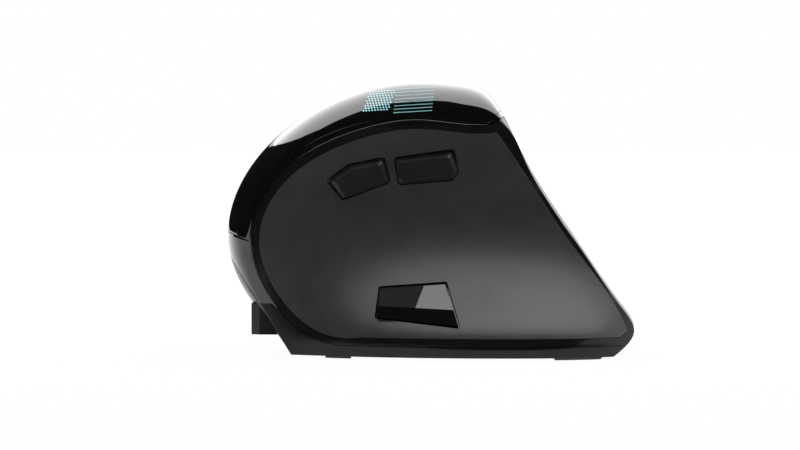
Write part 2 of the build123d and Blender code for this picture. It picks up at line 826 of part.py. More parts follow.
def thumb_key(start):
    """Glossy key with two facets that meet on a ridge."""
    middle = key_switch_share[0] * half_length
    heights = (key_shares[2][1] * height, key_ridge_share * height, key_shares[1][1] * height)
    prouds = (key_edge_proud, key_ridge_proud, key_edge_proud)
    profile = [(face_depth(middle, z) - proud, z) for z, proud in zip(heights, prouds)]
    top, ridge, bottom = profile
    row = [(ridge[0] + (top[0] - ridge[0]) * 2, ridge[1] + (top[1] - ridge[1]) * 2), ridge,
           (ridge[0] + (bottom[0] - ridge[0]) * 2, ridge[1] + (bottom[1] - ridge[1]) * 2),
           (0, bottom[1] - overrun), (0, top[1] + overrun)]
    sketch = Plane.YZ * Polygon(*row, align=None)
    wedge = extrude(sketch, half_length, both=True)
    prism = outline_prism(key_shares, -thumb_gap, key_corner, start, 0)
    cap = (prism & wedge) - block(key_depth)
    flange = outline_prism(key_shares, flange_width, key_corner, start, 0)
    flange = flange & block(panel_thickness + flange_gap)
    flange -= block(panel_thickness + flange_gap + flange_thickness)
    tip = key_switch_back - tact_height - tact_proud - contact_gap
    base = main_board_height + board_thickness + tact_size / 2
    half = stem_size / 2
    stem = desk_box((middle - half, middle + half), (start, tip), (base - half, base + half))
    return cap + flange + (stem & block(panel_thickness))


def port_space():
    """Space that the port block takes, with its clearance."""
    side = port_width / 2 + port_gap
    return desk_box((-port_front - overrun, -port_rear + overrun), (port_y - side, port_y + side),
                    (port_bottom - port_gap, port_top + port_gap))


def port_pieces():
    """Block under the nose with its socket, tongue and small board."""
    y_low = port_y - port_width / 2
    y_high = port_y + port_width / 2
    body = desk_box((-port_front, -port_rear), (y_low, y_high), (port_bottom, port_top))
    edge = body.edges().filter_by(Axis.Z).sort_by_distance((-port_front, y_low, port_bottom))[0]
    body = chamfer(edge, port_bevel)
    board_bottom = port_bottom + port_wall
    body -= desk_box((-port_front + port_front_wall, -port_rear + overrun),
                     (y_low + port_wall, y_high - port_wall), (board_bottom, port_top - port_wall))
    socket_bottom = board_bottom + socket_lift
    socket_z = socket_bottom + socket_height / 2
    front = -port_front + socket_recess
    body -= socket_shape(front - overrun, front + port_front_wall + overrun, socket_z, port_gap)
    shell = socket_shape(front, front + socket_depth, socket_z, 0)
    shell -= socket_shape(front - overrun, front + socket_depth - socket_wall, socket_z, -socket_wall)
    root = front + socket_depth - socket_wall
    tongue = desk_box((root - tongue_length, root), (port_y - tongue_width / 2, port_y + tongue_width / 2),
                      (socket_z - tongue_thickness / 2, socket_z + tongue_thickness / 2))
    start = -port_front + port_front_wall
    side = port_board_width / 2
    board = desk_box((start, start + port_board_length), (port_y - side, port_y + side),
                     (board_bottom, socket_bottom))
    return {"port_block": body, "port_socket": shell, "port_tongue": tongue, "port_board": board}


def socket_shape(start, end, z, grow):
    """Rounded slot of the charging socket run along its depth."""
    tall = socket_height + 2 * grow
    sketch = SlotOverall(socket_width + 2 * grow, tall)
    plane = Plane(origin=(start, port_y, z), x_dir=(0, 1, 0), z_dir=(1, 0, 0))
    return plane * extrude(sketch, end - start)


def display_pieces(room):
    """Light guide against the ridge cover and the board of lights behind it."""
    tilt = radians(display_tilt)
    origin = (display_x, display_y, display_z(room) - guide_depth)
    face_plane = Plane(origin=origin, x_dir=(1, 0, 0), z_dir=(0, -sin(tilt), cos(tilt)))
    half = display_length / 2
    side = display_width / 2
    guide = local_box(face_plane, (-half, half), (-side, side), (0, height / 4)) & room
    board = local_box(face_plane, (-half, half), (-side, side), (-display_board_thickness, 0)) & room
    return {"light_guide": guide, "display_board": board}


def display_z(room):
    """Height of the inner ridge over the middle of the display."""
    found = []
    for face in room.faces():
        for point, normal in face.find_intersection_points(Axis((display_x, display_y, 0), (0, 0, 1))):
            found.append(point.Z)
    return max(found)


def base_pieces(shell, room):
    """Tray with its bosses, feet, lens window, switch slot and port opening."""
    base_top = foot_proud + floor_thickness
    for x, y in board_boss_places():
        shell += desk_rod(x, y, board_boss_radius, base_top, main_board_height)
        shell -= desk_rod(x, y, board_screw_radius + running_gap / 2, base_top, main_board_height + overrun)
    for x in case_screw_x:
        y = case_screw_y()
        top = foot_proud + foot_recess + screw_head_height
        shell -= desk_rod(x, y, screw_radius + screw_clearance, 0, base_top + overrun)
        shell -= desk_rod(x, y, screw_head_radius + screw_clearance, 0, top)
    window = (sensor_x - window_length / 2, sensor_x + window_length / 2)
    window_side = (sensor_y - window_width / 2, sensor_y + window_width / 2)
    shell -= desk_box(window, window_side, (0, base_top + overrun))
    reach = knob_length / 2 + slide_travel + knob_gap
    side = knob_width / 2 + knob_gap
    shell -= desk_box((slide_x - reach, slide_x + reach), (slide_y - side, slide_y + side),
                      (0, base_top + overrun))
    shell -= port_space()
    found = {}
    sole = form(foot_inset, foot_inset, 0) & below(foot_proud + foot_recess)
    for name, limits in (("front_foot", front_foot), ("rear_foot", rear_foot)):
        pad = sole & desk_box(limits, (-height, height), (-overrun, overrun))
        found[name] = pad
        shell -= pad
    found["base_shell"] = shell
    return found


def screw(x, y, radius, head_radius, head_height, head_z, length, upward):
    """Pan head screw along the height."""
    if upward:
        head = desk_rod(x, y, head_radius, head_z, head_z + head_height)
        return head + desk_rod(x, y, radius, head_z + head_height, head_z + length)
    head = desk_rod(x, y, head_radius, head_z, head_z + head_height)
    return head + desk_rod(x, y, radius, head_z - length, head_z)


def screw_pieces():
    """Case screws from below and board screws from above."""
    case = [screw(x, case_screw_y(), screw_radius, screw_head_radius, screw_head_height,
                  foot_proud + foot_recess, screw_length, True) for x in case_screw_x]
    top = main_board_height + board_thickness
    board = [screw(x, y, board_screw_radius, board_screw_head_radius, board_screw_head_height, top,
                   board_screw_length, False) for x, y in board_boss_places()]
    return {"case_screws": Compound(case), "board_screws": Compound(board)}


def inner_pieces():
    """Battery, sensor, lens and slide switch."""
    base_top = foot_proud + floor_thickness
    battery = desk_box((battery_x, battery_x + battery_length),
                       (chassis_back, chassis_back + battery_thickness),
                       (battery_height, battery_height + battery_width))
    battery = fillet(battery.edges().filter_by(Axis.Y), battery_fillet)
    half = sensor_length / 2
    side = sensor_width / 2
    sensor = desk_box((sensor_x - half, sensor_x + half), (sensor_y - side, sensor_y + side),
                      (main_board_height - sensor_height, main_board_height))
    half = lens_plate_length / 2
    side = lens_plate_width / 2
    lens = desk_box((sensor_x - half, sensor_x + half), (sensor_y - side, sensor_y + side),
                    (base_top, base_top + lens_plate_thickness))
    half = window_length / 2 - window_gap
    side = window_width / 2 - window_gap
    lens += desk_box((sensor_x - half, sensor_x + half), (sensor_y - side, sensor_y + side),
                     (foot_proud + lens_sink, base_top))
    lens += desk_rod(sensor_x, sensor_y, lens_barrel_radius, base_top,
                     main_board_height - sensor_height - lens_gap)
    half = slide_body_length / 2
    side = slide_body_width / 2
    bottom = main_board_height - slide_body_height
    slide = desk_box((slide_x - half, slide_x + half), (slide_y - side, slide_y + side),
                     (bottom, main_board_height))
    reach = knob_stem / 2 + slide_travel + knob_gap
    groove = knob_stem / 2 + knob_gap
    stem_top = base_top + contact_gap + knob_flange_thickness + knob_stem_height
    slide -= desk_box((slide_x - reach, slide_x + reach), (slide_y - groove, slide_y + groove),
                      (bottom - overrun, stem_top + knob_gap))
    knob = desk_box((slide_x - knob_length / 2, slide_x + knob_length / 2),
                    (slide_y - knob_width / 2, slide_y + knob_width / 2),
                    (foot_proud + knob_sink, base_top + contact_gap))
    reach = knob_length / 2 + slide_travel + flange_lap
    knob += desk_box((slide_x - reach, slide_x + reach),
                     (slide_y - knob_width / 2 - flange_lap, slide_y + knob_width / 2 + flange_lap),
                     (base_top + contact_gap, base_top + contact_gap + knob_flange_thickness))
    stem = knob_stem / 2
    knob += desk_box((slide_x - stem, slide_x + stem), (slide_y - stem, slide_y + stem),
                     (base_top, stem_top))
    return {"battery": battery, "optical_sensor": sensor, "sensor_lens": lens, "slide_switch": slide,
            "slide_knob": knob}


def main():
    """Build every piece and write it out."""
    os.makedirs("parts", exist_ok=True)
    outer = form(0.0, 0.0, foot_proud)
    inner = form(wall, thumb_wall, foot_proud + floor_thickness)
    room = form(wall + chassis_clearance, thumb_wall + chassis_clearance, foot_proud + floor_thickness)
    cover_room = form(wall + panel_gap, thumb_wall + panel_gap, foot_proud + floor_thickness)
    plane = finger_plane(outer)
    pieces = skin_pieces(outer, inner)
    main_buttons(pieces, outer, plane)
    pieces.update(dpi_pieces(outer, plane))
    pieces.update(wheel_pieces(plane))
    pieces.update(carriage_pieces(plane))
    pieces.update(switch_pieces(plane))
    pieces.update(board_pieces(plane, room))
    pieces.update(thumb_pieces(pieces["thumb_panel"]))
    pieces.update(port_pieces())
    pieces.update(display_pieces(cover_room))
    pieces.update(base_pieces(pieces["base_shell"], room))
    pieces.update(screw_pieces())
    pieces.update(inner_pieces())
    for name, shape in pieces.items():
        export_step(shape, f"parts/{name}.step")
    print(len(pieces), "pieces")


main()
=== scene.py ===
"""Looks of a vertical mouse: moulded finishes, gloss covers, faceted key, display dots and studio.

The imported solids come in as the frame. Classes below dress them, add the pieces that the
solids leave plain, and set up the camera, the lamp, the black cloths and the floor. All sizes
are in metres.
"""

import json
import logging
import math
from dataclasses import dataclass, field
from enum import Enum
from typing import Callable, Dict, Sequence, Tuple

import bmesh
import bpy
import numpy as np
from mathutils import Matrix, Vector
from mathutils.bvhtree import BVHTree

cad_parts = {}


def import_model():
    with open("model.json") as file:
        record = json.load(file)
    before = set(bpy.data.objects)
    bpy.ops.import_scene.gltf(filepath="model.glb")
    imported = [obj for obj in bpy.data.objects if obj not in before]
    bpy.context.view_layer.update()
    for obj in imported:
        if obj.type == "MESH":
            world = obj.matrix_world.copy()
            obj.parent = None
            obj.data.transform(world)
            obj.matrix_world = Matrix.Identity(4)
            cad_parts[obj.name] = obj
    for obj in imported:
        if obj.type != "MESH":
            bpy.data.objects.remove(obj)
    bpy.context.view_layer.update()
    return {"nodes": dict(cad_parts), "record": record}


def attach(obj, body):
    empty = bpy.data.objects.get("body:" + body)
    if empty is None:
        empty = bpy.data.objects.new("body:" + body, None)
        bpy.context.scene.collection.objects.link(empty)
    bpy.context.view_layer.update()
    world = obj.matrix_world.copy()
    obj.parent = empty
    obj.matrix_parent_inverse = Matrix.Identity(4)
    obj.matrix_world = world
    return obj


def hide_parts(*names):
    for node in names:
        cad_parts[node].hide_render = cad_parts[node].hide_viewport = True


Colour = Tuple[float, float, float, float]
Point = Tuple[float, float, float]
Shares = Tuple[Tuple[float, float], ...]
Places = Callable[[np.ndarray, np.ndarray], np.ndarray]

LOG = logging.getLogger("mouse")
MM = 0.001
CUT_MERGE = 1e-7
POINT_MERGE = 1e-6
RING_POINTS = 400
RIM_SEGMENTS = 3
RIM_ANGLE = 50.0
FLOW_WEIGHT = 80
FINGER_WAY = 1
UPWARD = 2


def grey(level: float, warmth: float = 0.0) -> Colour:
    """Opaque grey of a linear brightness, with red raised and blue lowered by the warmth."""
    return (level * (1 + warmth), level, level * (1 - warmth), 1.0)


class Family(Enum):
    """Kinds of shader that a finish is built on."""

    PLASTIC = "plastic"
    METAL = "metal"
    CLEAR = "clear"
    LIT = "lit"


@dataclass(frozen=True)
class Finish:
    """One surface finish: a base shader with its own grain, colour variation and relief."""

    name: str
    dark: Colour
    light: Colour
    roughness: Tuple[float, float]
    grain: float
    relief: float
    family: Family = Family.PLASTIC
    specular: float = 0.5
    coat: float = 0.0
    coat_roughness: float = 0.03
    glow: float = 0.0
    octaves: float = 4.0
    broad_grains: float = 40.0
    colour_span: Tuple[float, float] = (0.12, 0.42)
    roughness_span: Tuple[float, float] = (0.3, 0.7)
    transmission: float = 0.9

    def build(self) -> bpy.types.Material:
        """Make the material with its node tree.

        Returns:
            The finished material.
        """
        material = bpy.data.materials.new(self.name)
        material.use_nodes = True
        tree = material.node_tree
        shader = tree.nodes["Principled BSDF"]
        place = tree.nodes.new("ShaderNodeTexCoord")
        broad = self._noise(tree, place, self.grain * self.broad_grains)
        fine = self._noise(tree, place, self.grain)
        self._colour(tree, shader, broad, fine)
        self._roughness(tree, shader, broad)
        self._relief(tree, shader, fine)
        shader.inputs["Specular IOR Level"].default_value = self.specular
        shader.inputs["Coat Weight"].default_value = self.coat
        shader.inputs["Coat Roughness"].default_value = self.coat_roughness
        shader.inputs["Metallic"].default_value = 1.0 if self.family is Family.METAL else 0.0
        if self.family is Family.CLEAR:
            shader.inputs["Transmission Weight"].default_value = self.transmission
        return material

    def _noise(self, tree: bpy.types.NodeTree, place: bpy.types.Node, size: float) -> bpy.types.Node:
        """Add a noise texture of one grain size on object coordinates.

        Args:
            tree: Node tree of the material.
            place: Texture coordinate node.
            size: Size of a grain in metres.

        Returns:
            The noise node.
        """
        noise = tree.nodes.new("ShaderNodeTexNoise")
        noise.inputs["Scale"].default_value = 1.0 / size
        noise.inputs["Detail"].default_value = self.octaves
        tree.links.new(place.outputs["Object"], noise.inputs["Vector"])
        return noise

    def _colour(self, tree: bpy.types.NodeTree, shader: bpy.types.Node, broad: bpy.types.Node,
                fine: bpy.types.Node) -> None:
        """Drive the colour by the broad and the fine grain.

        Args:
            tree: Node tree of the material.
            shader: Principled shader node.
            broad: Noise of the broad variation.
            fine: Noise of the fine grain.
        """
        blend = tree.nodes.new("ShaderNodeMath")
        blend.operation = "MULTIPLY"
        tree.links.new(broad.outputs["Fac"], blend.inputs[0])
        tree.links.new(fine.outputs["Fac"], blend.inputs[1])
        ramp = tree.nodes.new("ShaderNodeValToRGB")
        for stop, position, colour in zip(ramp.color_ramp.elements, self.colour_span,
                                          (self.dark, self.light)):
            stop.position = position
            stop.color = colour
        tree.links.new(blend.outputs["Value"], ramp.inputs["Fac"])
        tree.links.new(ramp.outputs["Color"], shader.inputs["Base Color"])
        if self.family is Family.LIT:
            tree.links.new(ramp.outputs["Color"], shader.inputs["Emission Color"])
            shader.inputs["Emission Strength"].default_value = self.glow

    def _roughness(self, tree: bpy.types.NodeTree, shader: bpy.types.Node, broad: bpy.types.Node) -> None:
        """Vary the roughness between its two limits.

        Args:
            tree: Node tree of the material.
            shader: Principled shader node.
            broad: Noise of the broad variation.
        """
        spread = tree.nodes.new("ShaderNodeMapRange")
        for i, limit in enumerate(("Min", "Max")):
            spread.inputs["From " + limit].default_value = self.roughness_span[i]
            spread.inputs["To " + limit].default_value = self.roughness[i]
        tree.links.new(broad.outputs["Fac"], spread.inputs["Value"])
        tree.links.new(spread.outputs["Result"], shader.inputs["Roughness"])

    def _relief(self, tree: bpy.types.NodeTree, shader: bpy.types.Node, fine: bpy.types.Node) -> None:
        """Raise the fine grain as a bump.

        Args:
            tree: Node tree of the material.
            shader: Principled shader node.
            fine: Noise of the fine grain.
        """
        bump = tree.nodes.new("ShaderNodeBump")
        bump.inputs["Distance"].default_value = self.relief
        bump.inputs["Strength"].default_value = 1.0
        tree.links.new(fine.outputs["Fac"], bump.inputs["Height"])
        tree.links.new(bump.outputs["Normal"], shader.inputs["Normal"])


FINISHES: Dict[str, Finish] = {finish.name: finish for finish in (
    Finish("gloss_black", grey(0.0035), grey(0.0045), (0.035, 0.055), 0.9 * MM, 0.0, coat=1.0,
           coat_roughness=0.02, octaves=2.0),
    Finish("satin_black", grey(0.006), grey(0.009), (0.16, 0.22), 0.16 * MM, 0.004 * MM, specular=0.3),
    Finish("soft_grip", grey(0.027, 0.05), grey(0.036, 0.05), (0.40, 0.46), 0.12 * MM, 0.004 * MM,
           specular=0.55),
    Finish("button_black", grey(0.014), grey(0.019), (0.18, 0.24), 0.12 * MM, 0.003 * MM, specular=1.0,
           coat=1.0, coat_roughness=0.15),
    Finish("palm_grip", grey(0.016, 0.05), grey(0.022, 0.05), (0.52, 0.60), 0.12 * MM, 0.004 * MM,
           specular=0.12),
    # Painted dark reflection: black with almost no specular, which stands in for the dark that the front of
    # the key's upper facet reflects.
    Finish("painted_dark_reflection", grey(0.003), grey(0.004), (0.16, 0.20), 0.9 * MM, 0.0, specular=0.04,
           octaves=2.0),
    Finish("display_cyan", (0.30, 0.74, 0.82, 1.0), (0.42, 0.86, 0.93, 1.0), (0.20, 0.30), 0.6 * MM, 0.0,
           Family.LIT, glow=0.85, octaves=2.0),
    Finish("gloss_key", grey(0.004), grey(0.006), (0.05, 0.08), 0.9 * MM, 0.0, coat=0.3, octaves=2.0),
    Finish("inner_plastic", grey(0.06), grey(0.10), (0.40, 0.52), 0.2 * MM, 0.01 * MM),
    Finish("white_plastic", grey(0.62, 0.02), grey(0.75, 0.02), (0.30, 0.40), 0.2 * MM, 0.005 * MM),
    Finish("board_green", (0.010, 0.085, 0.035, 1.0), (0.030, 0.170, 0.075, 1.0), (0.25, 0.40), 0.35 * MM,
           0.01 * MM),
    Finish("tyre_rubber", grey(0.012), grey(0.020), (0.62, 0.75), 0.15 * MM, 0.01 * MM),
    Finish("steel", grey(0.45), grey(0.60), (0.22, 0.36), 0.12 * MM, 0.003 * MM, Family.METAL),
    Finish("socket_steel", grey(0.42), grey(0.55), (0.20, 0.32), 0.12 * MM, 0.003 * MM, Family.METAL),
    Finish("clear_lens", (0.80, 0.86, 0.90, 1.0), (0.92, 0.96, 1.0, 1.0), (0.02, 0.06), 1.2 * MM, 0.0,
           Family.CLEAR),
    Finish("guide_white", (0.60, 0.80, 0.88, 1.0), (0.75, 0.92, 1.0, 1.0), (0.25, 0.40), 0.6 * MM,
           0.01 * MM),
    Finish("battery_foil", grey(0.50), grey(0.66), (0.28, 0.45), 0.8 * MM, 0.02 * MM, Family.METAL),
    Finish("glide_grey", grey(0.018), grey(0.028), (0.35, 0.50), 0.2 * MM, 0.006 * MM),
)}


def cubic(knots: np.ndarray, values: np.ndarray, at: np.ndarray) -> np.ndarray:
    """Smooth curve through values at knots.

    Args:
        knots: Rising places of the values.
        values: One row for each knot.
        at: Places to read.

    Returns:
        One row for each place.
    """
    step = np.diff(knots)
    slope = np.diff(values, axis=0) / step[:, None]
    system = np.eye(len(knots))
    turn = np.zeros_like(values)
    for i in range(1, len(knots) - 1):
        system[i, i - 1:i + 2] = (step[i - 1], 2 * (step[i - 1] + step[i]), step[i])
        turn[i] = 6 * (slope[i] - slope[i - 1])
    bend = np.linalg.solve(system, turn)
    i = np.clip(np.searchsorted(knots, at) - 1, 0, len(knots) - 2)
    low = ((knots[i + 1] - at) / step[i])[:, None]
    high = 1 - low
    curve = (low ** 3 - low) * bend[i] + (high ** 3 - high) * bend[i + 1]
    return low * values[i] + high * values[i + 1] + curve * (step[i] ** 2)[:, None] / 6


def along(points: np.ndarray, at: np.ndarray) -> np.ndarray:
    """Points at shares of the way along a smooth curve through a few points.

    Args:
        points: Points that the curve passes.
        at: Shares of the way from 0 to 1.

    Returns:
        One point for each share.
    """
    runs = np.linalg.norm(np.diff(points, axis=0), axis=1)
    knots = np.concatenate(([0.0], np.cumsum(runs))) / runs.sum()
    return cubic(knots, points, at)


@dataclass(frozen=True)
class BodyForm:
    """Outer form of the body, in the same sizes and shares as the solids."""

    half: float = 56.0 * MM
    tall: float = 75.4 * MM
    crown_offset: float = 2.0 * MM
    ridge_depth: float = 14.0 * MM
    ledge_depth: float = 23.0 * MM
    hollow_depth: float = 4.0 * MM
    finger_width: float = 42.0 * MM
    finger_foot_share: float = 8.0 / 75.4
    finger_fullness: float = 1.6
    finger_reach: float = 39.0 * MM
    finger_corner: float = 12.0 * MM
    finger_span: float = 1.15 * 56.0 * MM
    nose_draw_share: float = 20.0 / 56.0
    heel_draw_share: float = 12.0 / 56.0
    draw_power: float = 2.2
    crown: Shares = (
        (-0.63, -0.06), (-0.79, 0.11), (-0.925, 0.245), (-1.0, 0.43), (-0.935, 0.625), (-0.70, 0.83),
        (-0.41, 0.950), (-0.12, 0.998), (0.12, 0.992), (0.27, 0.958), (0.335, 0.895), (0.47, 0.695),
        (0.705, 0.425), (0.935, 0.18), (0.99, 0.10), (0.94, 0.04), (0.75, -0.06),
    )
    edge: Shares = (
        (-0.62, -0.06), (-0.75, 0.09), (-0.83, 0.22), (-0.885, 0.42), (-0.83, 0.575), (-0.64, 0.72),
        (-0.40, 0.808), (-0.14, 0.850), (0.10, 0.857), (0.25, 0.850), (0.335, 0.835), (0.465, 0.68),
        (0.70, 0.415), (0.93, 0.17), (0.98, 0.095), (0.93, 0.04), (0.73, -0.06),
    )
    ring: Shares = (
        (-0.40, 0.049), (-0.643, 0.10), (-0.782, 0.208), (-0.882, 0.408), (-0.827, 0.572),
        (-0.645, 0.718), (-0.36, 0.818), (-0.06, 0.855), (0.234, 0.838), (0.300, 0.842),
    )
    face_x: Tuple[float, ...] = (-1.15, -0.9, -0.72, -0.5, -0.2, 0.1, 0.4, 0.7, 0.9, 1.0, 1.15)
    face_bulge: Tuple[float, ...] = (-0.08, -0.04, 0.05, 0.38, 0.75, 0.95, 1.0, 0.86, 0.5, 0.2, -0.4)
    face_hollow: Tuple[float, ...] = (0.0, 0.0, 0.25, 0.6, 0.95, 1.0, 0.75, 0.3, 0.0, 0.0, 0.0)
    ring_tip: Tuple[float, float] = (8.0 * MM, 5.6 * MM)
    level: Tuple[float, ...] = (-0.1, 0.0, 0.075, 0.15, 0.25, 0.37, 0.52, 0.68, 0.84, 1.1)
    level_flare: Tuple[float, ...] = (0.85, 0.92, 1.0, 0.80, 0.48, 0.2, 0.04, 0.0, 0.0, 0.0)
    level_hollow: Tuple[float, ...] = (0.0, 0.0, 0.0, 0.0, 0.25, 0.7, 1.0, 0.7, 0.15, 0.0)

    def side(self, shares: np.ndarray) -> np.ndarray:
        """Shares of half the length and of the height in metres."""
        return shares * np.array((self.half, self.tall))

    def shoulder(self, share: float, at: np.ndarray) -> np.ndarray:
        """Silhouette between the crown, at a share of 0, and the thumb edge, at a share of 1."""
        crown = np.array(self.crown)
        return along(self.side(crown + (np.array(self.edge) - crown) * share), at)

    def finger(self, step: float, at: np.ndarray) -> np.ndarray:
        """Silhouette behind the crown, lowered and drawn in.

        Args:
            step: 0 at the crown, 1 at the far side.
            at: Shares of the way from the nose's foot to the heel.

        Returns:
            Points of the side view.
        """
        round_off = (1 - step ** self.finger_fullness) ** (1 / self.finger_fullness)
        drop = self.finger_foot_share + (1 - self.finger_foot_share) * round_off
        points = np.array(self.crown)
        drawn = np.where(points[:, 0] < 0, self.nose_draw_share, self.heel_draw_share)
        points[:, 0] *= 1 - drawn * step ** self.draw_power
        points[:, 1] *= np.where(points[:, 1] > 0, drop, 1.0)
        return along(self.side(points), at)

    def finger_y(self, x: np.ndarray) -> np.ndarray:
        """Depth of the upright wall that ends the finger side.

        Args:
            x: Places along the body.

        Returns:
            Depth at each place.
        """
        drop = self.finger_reach - self.finger_corner
        radius = (self.finger_span ** 2 + drop ** 2) / (2 * drop)
        return self.finger_reach - radius + np.sqrt(radius ** 2 - x ** 2)

    def face_y(self, x: np.ndarray, z: np.ndarray) -> np.ndarray:
        """Depth of the hollow thumb face.

        Args:
            x: Places along the body.
            z: Heights.

        Returns:
            Depth at each place.
        """
        levels = np.array(self.level) * self.tall
        order = np.clip(z, levels[0], levels[-1])
        flare = np.array(self.level_flare)[:, None] * np.array(self.face_bulge)[None, :]
        dish = np.array(self.level_hollow)[:, None] * np.array(self.face_hollow)[None, :]
        rows = cubic(levels, self.hollow_depth * dish - self.ledge_depth * flare, order)
        columns = np.array(self.face_x) * self.half
        depth = [cubic(columns, row[:, None], np.array([place]))[0, 0] for row, place in zip(rows, x)]
        return np.array(depth) - self.crown_offset - self.ridge_depth

    def ring_line(self, count: int, inset: float = 0.0) -> np.ndarray:
        """Line of the ring round the grip in the side view.

        Args:
            count: Number of points.
            inset: Distance to the inner side.

        Returns:
            The points from the foot of the nose to the rear.
        """
        line = along(self.side(np.array(self.ring)), np.linspace(0, 1, count))
        line = np.vstack((line, line[-1] + np.array(self.ring_tip)))
        way = np.gradient(line, axis=0)
        way /= np.linalg.norm(way, axis=1)[:, None]
        return line + inset * np.stack((way[:, 1], -way[:, 0]), axis=1)


def mapped_sheet(columns: int, rows: int, place: Places) -> bmesh.types.BMesh:
    """Grid of faces laid onto a form.

    Args:
        columns: Number of faces along the first way.
        rows: Number of faces along the second way.
        place: Gives the points for arrays of both ways, each from 0 to 1.

    Returns:
        The laid grid.
    """
    shape = bmesh.new()
    bmesh.ops.create_grid(shape, x_segments=columns, y_segments=rows, size=0.5)
    flat = np.array([vert.co for vert in shape.verts]) + 0.5
    for vert, point in zip(shape.verts, place(flat[:, 0], flat[:, 1])):
        vert.co = point
    return shape


def grid_sheet(grid: np.ndarray) -> bmesh.types.BMesh:
    """Sheet with its corners at a grid of points.

    Args:
        grid: Points by row and column.

    Returns:
        The sheet.
    """
    rows, columns = grid.shape[0] - 1, grid.shape[1] - 1

    def place(u: np.ndarray, v: np.ndarray) -> np.ndarray:
        """Read the grid at the corners of the sheet."""
        return grid[np.rint(v * rows).astype(int), np.rint(u * columns).astype(int)]

    return mapped_sheet(columns, rows, place)


def turn_outward(shape: bmesh.types.BMesh, axis: int) -> None:
    """Turn the faces of a sheet, so that the farthest one along an axis points along it.

    Args:
        shape: Sheet to turn.
        axis: Index of the axis.
    """
    bmesh.ops.recalc_face_normals(shape, faces=shape.faces[:])
    farthest = max(shape.faces, key=lambda face: face.calc_center_median()[axis])
    if farthest.normal[axis] < 0:
        bmesh.ops.reverse_faces(shape, faces=shape.faces[:])


def cut(shape: bmesh.types.BMesh, point: Sequence[float],
        normal: Sequence[float]) -> Sequence[bmesh.types.BMEdge]:
    """Cut away what lies past a plane.

    Args:
        shape: Mesh to cut.
        point: Point of the plane.
        normal: Side that is cut away.

    Returns:
        The edges that lie on the plane.
    """
    parts = shape.verts[:] + shape.edges[:] + shape.faces[:]
    made = bmesh.ops.bisect_plane(shape, geom=parts, plane_co=point, plane_no=normal, clear_outer=True,
                                  dist=CUT_MERGE)
    return [item for item in made["geom_cut"] if isinstance(item, bmesh.types.BMEdge)]


def mesh_of(shape: bmesh.types.BMesh, name: str) -> bpy.types.Mesh:
    """Write the mesh data of a shape and free the shape.

    Args:
        shape: Shape to write.
        name: Name of the mesh data.

    Returns:
        The mesh data.
    """
    mesh = bpy.data.meshes.new(name)
    shape.to_mesh(mesh)
    shape.free()
    return mesh


def linked(name: str, data: bpy.types.ID) -> bpy.types.Object:
    """Make an object and link it to the scene.

    Args:
        name: Name of the object.
        data: Mesh, lamp or camera.

    Returns:
        The object.
    """
    holder = bpy.data.objects.new(name, data)
    bpy.context.scene.collection.objects.link(holder)
    return holder


def bare_tree(owner: bpy.types.ID) -> bpy.types.NodeTree:
    """Start a node tree with nothing in it.

    Args:
        owner: Material or world.

    Returns:
        The tree.
    """
    owner.use_nodes = True
    owner.node_tree.nodes.clear()
    return owner.node_tree


def finished(shape: bmesh.types.BMesh, name: str, material: bpy.types.Material,
             sharp: float = 40.0) -> bpy.types.Object:
    """Make a smooth-shaded object of a shape and free the shape.

    Args:
        shape: Shape of the piece.
        name: Name of the piece.
        material: Finish of the piece.
        sharp: Angle in degrees past which an edge stays sharp.

    Returns:
        The object, linked to the scene.
    """
    shape.normal_update()
    for face in shape.faces:
        face.smooth = True
    for edge in shape.edges:
        if len(edge.link_faces) == 2 and edge.calc_face_angle() > math.radians(sharp):
            edge.smooth = False
    mesh = mesh_of(shape, name)
    mesh.materials.append(material)
    return linked(name, mesh)


def thicken(piece: bpy.types.Object, thickness: float, rounding: float) -> None:
    """Give a sheet its wall and round its rims.

    Args:
        piece: Sheet whose faces point outwards.
        thickness: Wall behind the faces.
        rounding: Size of the rounded rims.
    """
    wall = piece.modifiers.new("wall", "SOLIDIFY")
    wall.thickness = thickness
    wall.offset = -1.0
    wall.use_even_offset = False
    rims = piece.modifiers.new("rims", "BEVEL")
    rims.width = rounding
    rims.segments = RIM_SEGMENTS
    rims.limit_method = "ANGLE"
    rims.angle_limit = math.radians(RIM_ANGLE)
    flow = piece.modifiers.new("flow", "WEIGHTED_NORMAL")
    flow.keep_sharp = True
    flow.weight = FLOW_WEIGHT


